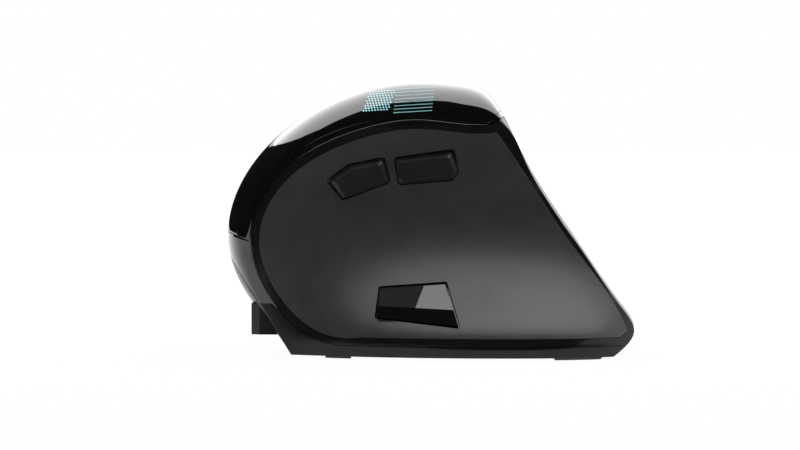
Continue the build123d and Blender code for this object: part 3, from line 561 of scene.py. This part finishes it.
@dataclass
class RidgeCover:
    """Gloss cover over the ridge with the nose panel under it and the trim behind it."""

    form: BodyForm
    gloss: bpy.types.Material
    columns: int = 180
    finger_rows: int = 8
    shoulder_rows: int = 36
    turn_start: float = 0.3
    turn_limit: float = 2.6
    turn_count: int = 120
    start_share: float = 0.06
    end_share: float = 0.625
    seam_y: float = 5.0 * MM
    nose_rows: int = 26
    nose_y: float = 34.0 * MM
    nose_rear: float = -40.0 * MM
    seam_gap: float = 0.15 * MM
    wall: float = 1.2 * MM
    rounding: float = 0.18 * MM
    fold: float = 0.35 * MM
    clear_depth: float = -1.0
    nose_seam: Point = (-56.0 * MM, 0.0, 34.1 * MM)
    nose_way: Point = (-0.4, 0.0, -1.0)
    lip_seam: Point = (-48.9 * MM, 0.0, 17.4 * MM)
    lip_way: Point = (-9.9, 0.0, -6.4)
    foot_level: float = 14.5 * MM
    trim_front: Point = (0.284 * 56.0 * MM, 0.0, 0.855 * 75.4 * MM)
    trim_rear: Point = (0.298 * 56.0 * MM, 0.0, 0.842 * 75.4 * MM)
    trim_front_tilt: float = 44.0
    trim_rear_tilt: float = 34.0

    def sheet(self, finger_rows: int, far_y: float) -> bmesh.types.BMesh:
        """Gloss skin from the finger side over the crown to the ring, as one sheet.

        Args:
            finger_rows: Number of rows behind the crown.
            far_y: Depth at which the sheet starts.

        Returns:
            The sheet, its faces pointing outwards.
        """
        rows = finger_rows + self.shoulder_rows
        at = np.linspace(self.start_share, self.end_share, self.columns + 1)
        grid = np.zeros((rows + 1, self.columns + 1, 3))
        reach = self._reach(at)
        for row in range(rows + 1):
            if row < finger_rows:
                grid[row] = self._behind(1 - row / finger_rows, at, far_y)
            else:
                grid[row] = self._turned(at, reach * (row - finger_rows) / self.shoulder_rows)
        depth = self.form.face_y(grid[:, :, 0].ravel(), grid[:, :, 2].ravel()).reshape(rows + 1, -1)
        depth = np.where(np.arange(rows + 1)[:, None] <= finger_rows, self.clear_depth, depth)
        lift = grid[:, :, 1] - depth
        grid[:, :, 1] = depth + 0.5 * (lift + np.sqrt(lift * lift + self.fold * self.fold))
        shape = grid_sheet(grid)
        turn_outward(shape, UPWARD)
        return shape

    def _behind(self, back: float, at: np.ndarray, far_y: float) -> np.ndarray:
        """Row of the sheet behind the crown.

        Args:
            back: 0 at the crown, 1 at the far edge of the sheet.
            at: Shares of the way along the silhouette.
            far_y: Depth of the far edge.

        Returns:
            Points of the row.
        """
        y = -self.form.crown_offset + (far_y + self.form.crown_offset) * back
        side = self.form.finger((y + self.form.crown_offset) / self.form.finger_width, at)
        return np.stack((side[:, 0], np.minimum(y, self.form.finger_y(side[:, 0])), side[:, 1]), axis=1)

    def _turned(self, at: np.ndarray, turn: np.ndarray) -> np.ndarray:
        """Points of the thumb side of the ridge.

        Args:
            at: Shares of the way along the silhouette.
            turn: 0 at the crown, 1 at the thumb edge, more past it.

        Returns:
            One point for each pair.
        """
        angle = np.minimum(turn, 1.0) * math.pi / 2
        share = 1 - np.cos(angle) + np.maximum(turn - 1.0, 0.0) * math.pi / 2
        crown = self.form.shoulder(0.0, at)
        side = crown + (self.form.shoulder(1.0, at) - crown) * share[:, None]
        y = -self.form.crown_offset - self.form.ridge_depth * np.sin(angle)
        return np.stack((side[:, 0], y, side[:, 1]), axis=1)

    def _reach(self, at: np.ndarray) -> np.ndarray:
        """Turn at which the sheet meets the ring line.

        Args:
            at: Shares of the way along the silhouette.

        Returns:
            The turn for each share.
        """
        ring = self.form.ring_line(RING_POINTS, -self.seam_gap / 2)
        way = np.gradient(ring, axis=0)
        turns = np.linspace(self.turn_start, self.turn_limit, self.turn_count)
        sides = np.zeros((len(turns), len(at)))
        for i, turn in enumerate(turns):
            point = self._turned(at, np.full(len(at), turn))[:, ::2]
            offset = point[:, None, :] - ring[None, :, :]
            near = np.argmin((offset ** 2).sum(axis=2), axis=1)
            gap = offset[np.arange(len(at)), near]
            sides[i] = gap[:, 0] * way[near, 1] - gap[:, 1] * way[near, 0]
        found = np.full(len(at), self.turn_limit)
        for column in range(len(at)):
            crossings = np.nonzero(sides[:-1, column] * sides[1:, column] <= 0)[0]
            if len(crossings):
                i = crossings[0]
                share = sides[i, column] / (sides[i, column] - sides[i + 1, column])
                found[column] = turns[i] + (turns[i + 1] - turns[i]) * share
        return found

    def _seam(self, shape: bmesh.types.BMesh, point: Point, way: Point, side: float) -> None:
        """Cut away what lies along the way across a seam, or against it at a side of -1."""
        across = Vector(way).normalized() * side
        cut(shape, Vector(point) - across * self.seam_gap / 2, across)

    def _tilt(self, degrees: float) -> Point:
        """Direction across a slanted rear seam."""
        return (math.sin(math.radians(degrees)), 0.0, -math.cos(math.radians(degrees)))

    def _piece(self, shape: bmesh.types.BMesh, name: str) -> bpy.types.Object:
        """Finish one cover, dress it and let it stand for its solid.

        Args:
            shape: Sheet of the cover.
            name: Name of the solid.

        Returns:
            The cover.
        """
        piece = finished(shape, name + "_gloss", self.gloss)
        thicken(piece, self.wall, self.rounding)
        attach(piece, "case")
        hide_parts(name)
        LOG.info("made %s", piece.name)
        return piece

    def build(self) -> bpy.types.Object:
        """Make the nose panel, the ridge cover and the trim.

        Returns:
            The ridge cover.
        """
        panel = self.sheet(self.nose_rows, self.nose_y)
        self._seam(panel, self.nose_seam, self.nose_way, -1)
        self._seam(panel, self.lip_seam, self.lip_way, 1)
        cut(panel, (0.0, 0.0, self.foot_level + self.seam_gap / 2), (0.0, 0.0, -1.0))
        cut(panel, (self.nose_rear - self.seam_gap / 2, 0.0, 0.0), (1.0, 0.0, 0.0))
        self._piece(panel, "front_panel")
        trim = self.sheet(self.finger_rows, self.seam_y)
        self._seam(trim, self.trim_front, self._tilt(self.trim_front_tilt), -1)
        self._seam(trim, self.trim_rear, self._tilt(self.trim_rear_tilt), 1)
        self._piece(trim, "rear_trim")
        cover = self.sheet(self.finger_rows, self.seam_y)
        self._seam(cover, self.nose_seam, self.nose_way, 1)
        self._seam(cover, self.trim_front, self._tilt(self.trim_front_tilt), 1)
        return self._piece(cover, "top_cover")


@dataclass
class FingerFoot:
    """Lower wall of the finger side, just inside the skin, which closes the foot of the palm cover."""

    form: BodyForm
    soft: bpy.types.Material
    columns: int = 160
    rows: int = 44
    start_step: float = 0.3
    start_share: float = 0.02
    end_share: float = 0.98
    inset: float = 0.15 * MM
    level_top: float = 23.4 * MM
    level_foot: float = 1.4 * MM
    wall: float = 0.5 * MM
    rounding: float = 0.05 * MM

    def build(self) -> bpy.types.Object:
        """Lay the wall down the finger side to the floor of the tray.

        Returns:
            The wall.
        """
        form = self.form
        at = np.linspace(self.start_share, self.end_share, self.columns + 1)
        steps = np.linspace(self.start_step, 1.0, self.rows)
        grid = np.zeros((self.rows + 1, self.columns + 1, 3))
        for row, step in enumerate(steps):
            side = form.finger(step, at) * (1 - self.inset / form.half)
            y = np.minimum(form.finger_width * step - form.crown_offset, form.finger_y(side[:, 0]))
            grid[row] = np.stack((side[:, 0], y - self.inset, side[:, 1]), axis=1)
        grid[self.rows] = grid[self.rows - 1]
        grid[self.rows, :, 2] = self.level_foot / 2
        shape = grid_sheet(grid)
        cut(shape, (0.0, 0.0, self.level_top), (0.0, 0.0, 1.0))
        cut(shape, (0.0, 0.0, self.level_foot), (0.0, 0.0, -1.0))
        bmesh.ops.remove_doubles(shape, verts=shape.verts[:], dist=POINT_MERGE)
        turn_outward(shape, FINGER_WAY)
        piece = finished(shape, "finger_foot", self.soft)
        thicken(piece, self.wall, self.rounding)
        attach(piece, "case")
        LOG.info("made %s", piece.name)
        return piece


@dataclass
class RingBead:
    """Thin gloss bead in the seam between the ridge cover and the ring."""

    form: BodyForm
    gloss: bpy.types.Material
    radius: float = 0.30 * MM
    lift: float = 0.05 * MM
    columns: int = 240
    sides: int = 12
    start_share: float = 0.16
    end_share: float = 0.985
    tip_rate: float = 30.0
    tip_least: float = 0.02

    def build(self) -> bpy.types.Object:
        """Run a round bead along the ring line on the thumb face.

        Returns:
            The bead.
        """
        form = self.form
        line = form.ring_line(RING_POINTS)
        at = np.linspace(self.start_share, self.end_share, self.columns + 1)
        side = np.stack([np.interp(at, np.linspace(0, 1, len(line)), line[:, i]) for i in (0, 1)], axis=1)
        level = -form.crown_offset - form.ridge_depth
        depth = np.maximum(form.face_y(side[:, 0], side[:, 1]), level) - self.lift
        middle = np.stack((side[:, 0], depth, side[:, 1]), axis=1)
        way = np.gradient(middle, axis=0)
        way /= np.linalg.norm(way, axis=1)[:, None]
        across = np.cross(way, (0.0, 1.0, 0.0))
        across /= np.linalg.norm(across, axis=1)[:, None]
        out = np.cross(across, way)

        def place(u: np.ndarray, v: np.ndarray) -> np.ndarray:
            """Wrap the grid round the line, drawn to a tip at both ends.

            Args:
                u: Shares of the way along the line.
                v: Shares of the turn round it.

            Returns:
                One point for each pair.
            """
            column = np.rint(u * self.columns).astype(int)
            ends = np.minimum(1.0, np.minimum(u, 1 - u) * self.tip_rate)
            size = (self.radius * np.sqrt(np.maximum(ends, self.tip_least)))[:, None]
            turn = (v * 2 * math.pi)[:, None]
            return middle[column] + size * (np.cos(turn) * across[column] + np.sin(turn) * out[column])

        shape = mapped_sheet(self.columns, self.sides, place)
        bmesh.ops.remove_doubles(shape, verts=shape.verts[:], dist=POINT_MERGE)
        bmesh.ops.holes_fill(shape, edges=shape.edges[:], sides=self.sides)
        bmesh.ops.recalc_face_normals(shape, faces=shape.faces[:])
        piece = finished(shape, "ring_bead", self.gloss)
        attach(piece, "case")
        LOG.info("made %s", piece.name)
        return piece


@dataclass
class DisplayDots:
    """Rows of small lit dots that shine through the ridge cover."""

    lit: bpy.types.Material
    cover: bpy.types.Object
    start: Tuple[float, float] = (-9.6 * MM, 72.6 * MM)
    pitch: float = 0.56 * MM
    row_pitch: float = 0.93 * MM
    row_slant: float = 0.06
    row_shift: float = -0.10 * MM
    columns: int = 19
    rows: int = 8
    dot_radius: float = 0.125 * MM
    block_start: Tuple[float, float] = (-16.9 * MM, 71.9 * MM)
    block_pitch: float = 0.80 * MM
    block_columns: int = 9
    block_rows: int = 9
    block_lean: float = -0.22 * MM
    block_drop: float = 0.66 * MM
    block_radius: float = 0.21 * MM
    sides: int = 8
    lift: float = 0.03 * MM
    view_rise: float = 1.8
    view_start: float = 0.1

    def places(self) -> Sequence[Tuple[float, float, float]]:
        """Side-view place and radius of each dot."""
        found = []
        for row in range(self.rows):
            for column in range(self.columns):
                x = self.start[0] + column * self.pitch + row * self.row_shift
                z = self.start[1] - row * self.row_pitch + column * self.pitch * self.row_slant
                found.append((x, z, self.dot_radius))
        for row in range(self.block_rows):
            for column in range(self.block_columns):
                x = self.block_start[0] + (column + 0.5 * (row % 2)) * self.block_pitch
                x += row * self.block_lean
                z = self.block_start[1] - row * self.block_drop + column * self.block_pitch * self.row_slant
                found.append((x, z, self.block_radius))
        return found

    def build(self) -> bpy.types.Object:
        """Lay every dot on the cover as the viewer's line meets it.

        Returns:
            All dots as one piece.
        """
        depsgraph = bpy.context.evaluated_depsgraph_get()
        tree = BVHTree.FromObject(self.cover, depsgraph)
        tilt = math.radians(self.view_rise)
        look = Vector((0.0, math.cos(tilt), -math.sin(tilt)))
        shape = bmesh.new()
        for x, z, radius in self.places():
            hit, normal, _, _ = tree.ray_cast(Vector((x, 0.0, z)) - look * self.view_start, look)
            if hit is None:
                continue
            turn = normal.to_track_quat("Z", "Y").to_matrix().to_4x4()
            turn.translation = hit + normal * self.lift
            bmesh.ops.create_circle(shape, cap_ends=True, segments=self.sides, radius=radius, matrix=turn)
        piece = finished(shape, "display_dots", self.lit)
        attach(piece, "case")
        LOG.info("made %s of %d faces", piece.name, len(piece.data.polygons))
        return piece


@dataclass
class FacetKey:
    """Gloss key of the thumb side: an upper facet parted in two, whose front part carries a painted dark
    reflection, a lower facet and bevels round them.
    """

    form: BodyForm
    bright: bpy.types.Material
    # Painted dark reflection for the front part of the upper facet.
    dark_reflection_paint: bpy.types.Material
    corners: Shares = ((-0.279, 0.147), (0.1375, 0.114), (0.0714, 0.277), (-0.259, 0.259))
    ridge_ends: Shares = ((-0.265, 0.192), (0.109, 0.180))
    gap: float = 0.45 * MM
    foot_proud: float = 0.3 * MM
    ridge_proud: float = 3.0 * MM
    top_proud: float = 2.0 * MM
    ridge_flat: float = 0.02 * MM
    depth: float = 3.2 * MM
    block: float = 30.0 * MM
    split_top: Tuple[float, float] = (-2.35 * MM, 19.6 * MM)
    split_foot: Tuple[float, float] = (-4.4 * MM, 14.5 * MM)
    rounding: float = 0.24 * MM
    bevel_angle: float = 20.0
    bevel_segments: int = 2
    sharp_angle: float = 12.0
    flange_depth: float = 1.75 * MM
    flange_wall: float = 0.8 * MM
    flange_grow: float = 0.07
    flange_faces: int = 14

    def build(self) -> bpy.types.Object:
        """Cut the key from a block and dress its facets.

        Returns:
            The key.
        """
        prouds = (self.foot_proud, self.foot_proud, self.top_proud, self.top_proud)
        edge = [self._place(share, proud) for share, proud in zip(self.corners, prouds)]
        ridge = [self._place(share, self.ridge_proud) for share in self.ridge_ends]
        upper = self._facing((ridge[0], ridge[1], (edge[2] + edge[3]) / 2))
        lower = self._facing((ridge[0], ridge[1], (edge[0] + edge[1]) / 2))
        crest = (ridge[0] + ridge[1]) / 2
        flat = (upper + lower).normalized()
        shape = bmesh.new()
        bmesh.ops.create_cube(shape, size=self.block * 2)
        bmesh.ops.translate(shape, vec=crest, verts=shape.verts)
        self._chop(shape, crest, upper)
        self._chop(shape, crest, lower)
        self._chop(shape, crest - flat * self.ridge_flat, flat)
        back = max(point.y for point in edge) + self.depth
        self._chop(shape, Vector((0.0, back, 0.0)), Vector((0.0, 1.0, 0.0)))
        for start, end in zip(edge, edge[1:] + edge[:1]):
            way = Vector((end.x - start.x, 0.0, end.z - start.z)).normalized()
            out = Vector((way.z, 0.0, -way.x))
            self._chop(shape, start - out * self.gap, out)
        bmesh.ops.recalc_face_normals(shape, faces=shape.faces[:])
        facet = max(shape.faces, key=lambda face: face.normal.dot(upper))
        self._split(shape, facet)
        edges = [edge for edge in shape.edges if edge.calc_face_angle() > math.radians(self.bevel_angle)]
        bmesh.ops.bevel(shape, geom=edges, offset=self.rounding, segments=self.bevel_segments,
                        profile=0.5, affect="EDGES", material=-1)
        bmesh.ops.recalc_face_normals(shape, faces=shape.faces[:])
        piece = finished(shape, "thumb_key_gloss", self.bright, self.sharp_angle)
        # Second slot: the painted dark reflection of the upper facet's front part.
        piece.data.materials.append(self.dark_reflection_paint)
        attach(piece, "key")
        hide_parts("thumb_key")
        self._flange()
        LOG.info("made %s", piece.name)
        return piece

    def _flange(self) -> None:
        """Lay the key's flange behind the panel, so that no gap shows through."""
        corners = np.array(self.corners) * np.array((self.form.half, self.form.tall))
        grow = self.flange_grow

        def place(u: np.ndarray, v: np.ndarray) -> np.ndarray:
            """Spread the grid between the grown corners on the inner side of the panel.

            Args:
                u: Shares of the way along the key.
                v: Shares of the way up the key.

            Returns:
                One point for each pair.
            """
            a = (u * (1 + 2 * grow) - grow)[:, None]
            b = (v * (1 + 2 * grow) - grow)[:, None]
            foot = corners[0] * (1 - a) + corners[1] * a
            top = corners[3] * (1 - a) + corners[2] * a
            side = foot * (1 - b) + top * b
            depth = self.form.face_y(side[:, 0], side[:, 1]) + self.flange_depth
            return np.stack((side[:, 0], depth, side[:, 1]), axis=1)

        shape = mapped_sheet(self.flange_faces, self.flange_faces, place)
        shape.normal_update()
        if shape.faces[:][0].normal.y > 0:
            bmesh.ops.reverse_faces(shape, faces=shape.faces[:])
        piece = finished(shape, "key_flange", self.bright)
        thicken(piece, self.flange_wall, self.rounding / 2)
        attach(piece, "key")
        LOG.info("made %s", piece.name)

    def _place(self, share: Tuple[float, float], proud: float) -> Vector:
        """Point that stands proud of the thumb face.

        Args:
            share: Place as shares of half the length and of the height.
            proud: Distance before the face.

        Returns:
            The point.
        """
        x, z = share[0] * self.form.half, share[1] * self.form.tall
        face = self.form.face_y(np.array([x]), np.array([z]))[0]
        return Vector((x, float(face) - proud, z))

    def _facing(self, points: Sequence[Vector]) -> Vector:
        """Direction towards the thumb side across the plane through three points.

        Args:
            points: The three points.

        Returns:
            The direction.
        """
        first, second, third = points
        across = (second - first).cross(third - first).normalized()
        return -across if across.y > 0 else across

    def _chop(self, shape: bmesh.types.BMesh, point: Vector, normal: Vector) -> None:
        """Cut the block with a plane and close the cut.

        Args:
            shape: Closed mesh.
            point: Point of the plane.
            normal: Side that is cut away.
        """
        rim = cut(shape, point, normal)
        if rim:
            bmesh.ops.contextual_create(shape, geom=rim)

    def _split(self, shape: bmesh.types.BMesh, facet: bmesh.types.BMFace) -> None:
        """Part the upper facet with a slanted line and give its front part a painted dark reflection.

        Args:
            shape: Mesh of the key.
            facet: Upper facet.
        """
        top = Vector((self.split_top[0], 0.0, self.split_top[1]))
        foot = Vector((self.split_foot[0], 0.0, self.split_foot[1]))
        way = (foot - top).normalized()
        across = Vector((way.z, 0.0, -way.x))
        parts = [facet] + list(facet.edges) + list(facet.verts)
        made = bmesh.ops.bisect_plane(shape, geom=parts, plane_co=top, plane_no=across,
                                      dist=CUT_MERGE)
        halves = [item for item in made["geom"] if isinstance(item, bmesh.types.BMFace)]
        front = min(halves, key=lambda face: face.calc_center_median().x)
        # Painted dark reflection on the front part of the upper facet.
        front.material_index = 1


@dataclass
class Shell:
    """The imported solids, each dressed in its own finish or in that of its material slot."""

    record: dict
    nodes: Dict[str, bpy.types.Object]
    materials: Dict[str, bpy.types.Material] = field(default_factory=dict)
    own_finish: Dict[str, str] = field(default_factory=lambda: {"palm_cover": "palm_grip"})

    def dress(self) -> None:
        """Give every carried-over solid its finish."""
        for name, finish in FINISHES.items():
            self.materials[name] = finish.build()
        for part in self.record["subparts"]:
            solid = self.nodes[part["node"]]
            finish = self.own_finish.get(part["node"], part["material_slot"])
            for holder in solid.material_slots:
                holder.material = self.materials[finish]
            LOG.info("dressed %s in %s", part["node"], finish)


@dataclass
class Softbox:
    """One soft lamp of the studio."""

    name: str
    place: Point
    target: Point
    size: Tuple[float, float]
    watts: float

    def build(self) -> bpy.types.Object:
        """Hang the lamp and turn it to its target.

        Returns:
            The lamp object.
        """
        lamp = bpy.data.lights.new(self.name, "AREA")
        lamp.shape = "RECTANGLE"
        lamp.size, lamp.size_y = self.size
        lamp.energy = self.watts
        holder = linked(self.name, lamp)
        holder.location = self.place
        aim = Vector(self.target) - Vector(self.place)
        holder.rotation_euler = aim.to_track_quat("-Z", "Y").to_euler()
        return holder


@dataclass
class Card:
    """Black cloth between an upper and a lower line, which only reflections show."""

    name: str
    upper: Sequence[Point]
    lower: Sequence[Point]
    black: float = 0.01

    def build(self) -> bpy.types.Object:
        """Stretch the cloth.

        Returns:
            The cloth.
        """
        folds = len(self.upper) - 1
        lines = (self.lower, self.upper)

        def place(u: np.ndarray, v: np.ndarray) -> np.ndarray:
            """Corners of the cloth by fold and line."""
            return np.array([lines[round(b)][round(a * folds)] for a, b in zip(u, v)])

        mesh = mesh_of(mapped_sheet(folds, 1, place), self.name)
        cloth = linked(self.name, mesh)
        cloth.visible_camera = False
        cloth.visible_diffuse = False
        cloth.visible_transmission = False
        cloth.visible_shadow = False
        material = bpy.data.materials.new(self.name + "_black")
        tree = bare_tree(material)
        dark = tree.nodes.new("ShaderNodeBsdfDiffuse")
        dark.inputs["Color"].default_value = grey(self.black)
        out = tree.nodes.new("ShaderNodeOutputMaterial")
        tree.links.new(dark.outputs["BSDF"], out.inputs["Surface"])
        mesh.materials.append(material)
        return cloth


@dataclass
class Studio:
    """Pale floor, white surroundings, black cloths round the object's front and a soft lamp."""

    floor_half: float = 3.0
    floor_level: float = -0.0001
    floor_grey: float = 0.8
    floor_glow_share: float = 0.97
    sky: float = 0.35
    roof_edge: Sequence[Point] = (
        (-0.25, 3.2, 0.23), (-1.14, 3.12, 0.98), (-0.99, 1.39, 0.98), (-0.88, 0.67, 0.98),
        (-0.79, 0.25, 0.98), (-0.70, -0.06, 0.98), (-0.54, -0.42, 0.98), (-0.42, -0.39, 0.98),
        (-0.22, -0.33, 0.98), (0.06, -0.33, 0.98), (0.11, -0.47, 0.98), (0.30, -0.46, 0.98),
        (2.2, -0.46, 0.98),
    )
    wall_edge: Sequence[Point] = (
        (-0.25, 3.2, 0.10), (-1.8, 3.2, 0.60), (-2.2, 1.6, 0.60), (-2.2, 0.9, 0.60),
        (-2.2, 0.3, 0.60), (-2.2, -0.4, 0.60), (-2.2, -1.6, 0.60), (-1.6, -1.6, 0.60),
        (-0.8, -1.6, 0.60), (0.2, -1.6, 0.60), (0.4, -1.6, 0.60), (1.0, -1.6, 0.60),
        (2.2, -1.6, 0.60),
    )
    floor_edge: float = 0.001
    object_edge: float = -0.042
    nose_edge: float = -0.05
    lamps: Sequence[Softbox] = (
        Softbox("top_box", (0.15, 1.55, 1.0), (0.15, 1.55, 0.0), (2.4, 4.0), 60.0),
    )

    def build(self) -> None:
        """Set up the floor, the world and the lamps."""
        self._floor()
        for card in self._cards():
            card.build()
        self._world()
        for lamp in self.lamps:
            lamp.build()
        LOG.info("studio has %d lamps", len(self.lamps))

    def _cards(self) -> Sequence[Card]:
        """Black cloths: a roof, the wall that it hangs on, and the floor before the object."""
        foot = [(x, y, self.floor_edge) for x, y, _ in self.wall_edge]
        front, right = self.wall_edge[-1][1], self.wall_edge[-1][0]
        near = [(x, self.object_edge, self.floor_edge) for x in (self.nose_edge, right)]
        far = [(x, front, self.floor_edge) for x in (self.nose_edge, right)]
        return (Card("roof", self.roof_edge, self.wall_edge), Card("wall", self.wall_edge, foot),
                Card("front_floor", near, far))

    def _white_rays(self, tree: bpy.types.NodeTree) -> bpy.types.NodeSocket:
        """Mark the rays that see the surroundings as white.

        Args:
            tree: Node tree of the world or the floor.

        Returns:
            Socket that is one for camera, glossy and transmission rays.
        """
        path = tree.nodes.new("ShaderNodeLightPath")
        socket = path.outputs["Is Camera Ray"]
        for name in ("Is Glossy Ray", "Is Transmission Ray"):
            either = tree.nodes.new("ShaderNodeMath")
            either.operation = "MAXIMUM"
            tree.links.new(socket, either.inputs[0])
            tree.links.new(path.outputs[name], either.inputs[1])
            socket = either.outputs["Value"]
        return socket

    def _floor(self) -> None:
        """Lay the pale floor, which keeps the shadow of the object."""
        shape = bmesh.new()
        bmesh.ops.create_grid(shape, x_segments=1, y_segments=1, size=self.floor_half)
        bmesh.ops.translate(shape, verts=shape.verts, vec=(0, 0, self.floor_level))
        mesh = mesh_of(shape, "floor")
        floor = linked("floor", mesh)
        material = bpy.data.materials.new("floor_white")
        tree = bare_tree(material)
        pale = tree.nodes.new("ShaderNodeBsdfDiffuse")
        pale.inputs["Color"].default_value = grey(self.floor_grey)
        glow = tree.nodes.new("ShaderNodeEmission")
        share = tree.nodes.new("ShaderNodeMath")
        share.operation = "MULTIPLY"
        share.inputs[1].default_value = self.floor_glow_share
        tree.links.new(self._white_rays(tree), share.inputs[0])
        mix = tree.nodes.new("ShaderNodeMixShader")
        out = tree.nodes.new("ShaderNodeOutputMaterial")
        tree.links.new(share.outputs["Value"], mix.inputs["Fac"])
        tree.links.new(pale.outputs["BSDF"], mix.inputs[1])
        tree.links.new(glow.outputs["Emission"], mix.inputs[2])
        tree.links.new(mix.outputs["Shader"], out.inputs["Surface"])
        mesh.materials.append(material)

    def _world(self) -> None:
        """Surround the scene with white for the camera and a dim grey for the light."""
        world = bpy.data.worlds.new("surroundings")
        bpy.context.scene.world = world
        tree = bare_tree(world)
        dim = tree.nodes.new("ShaderNodeBackground")
        dim.inputs["Strength"].default_value = self.sky
        white = tree.nodes.new("ShaderNodeBackground")
        for shade in (dim, white):
            shade.inputs["Color"].default_value = grey(1.0)
        white.inputs["Strength"].default_value = 1.0
        mix = tree.nodes.new("ShaderNodeMixShader")
        out = tree.nodes.new("ShaderNodeOutputWorld")
        tree.links.new(self._white_rays(tree), mix.inputs["Fac"])
        tree.links.new(dim.outputs["Background"], mix.inputs[1])
        tree.links.new(white.outputs["Background"], mix.inputs[2])
        tree.links.new(mix.outputs["Shader"], out.inputs["Surface"])


@dataclass
class Camera:
    """Camera at the photograph's angle, framed from the object's place in its pixels."""

    image_width: int = 800
    image_height: int = 450
    object_middle: float = 432.0
    desk_line: float = 357.5
    pixels_per_metre: float = 3675.0
    distance: float = 1.6
    elevation: float = 1.8
    plane_y: float = -0.018
    sensor: float = 36.0
    near_clip: float = 0.01

    def build(self) -> None:
        """Place the camera and make it the scene's."""
        data = bpy.data.cameras.new("view")
        seen_width = self.image_width / self.pixels_per_metre
        data.sensor_width = self.sensor
        data.lens = self.sensor * self.distance / seen_width
        data.clip_start = self.near_clip
        holder = linked("view", data)
        middle_x = (self.image_width / 2 - self.object_middle) / self.pixels_per_metre
        middle_z = (self.desk_line - self.image_height / 2) / self.pixels_per_metre
        target = Vector((middle_x, self.plane_y, middle_z))
        tilt = math.radians(self.elevation)
        holder.location = target + Vector((0, -math.cos(tilt), math.sin(tilt))) * self.distance
        holder.rotation_euler = (target - holder.location).to_track_quat("-Z", "Y").to_euler()
        bpy.context.scene.camera = holder
        LOG.info("camera at %s with a %.1f mm lens", tuple(holder.location), data.lens)


def main() -> None:
    """Build the scene in order and report each piece."""
    logging.basicConfig(level=logging.INFO)
    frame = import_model()
    bpy.context.scene.view_settings.view_transform = "Standard"
    shell = Shell(frame["record"], frame["nodes"])
    shell.dress()
    form = BodyForm()
    cover = RidgeCover(form, shell.materials["gloss_black"]).build()
    FingerFoot(form, shell.materials["palm_grip"]).build()
    RingBead(form, shell.materials["gloss_black"]).build()
    DisplayDots(shell.materials["display_cyan"], cover).build()
    # The key's second finish is a painted dark reflection on the front part of its upper facet.
    FacetKey(form, shell.materials["gloss_key"], shell.materials["painted_dark_reflection"]).build()
    Studio().build()
    Camera().build()


if __name__ == "__main__":
    main()
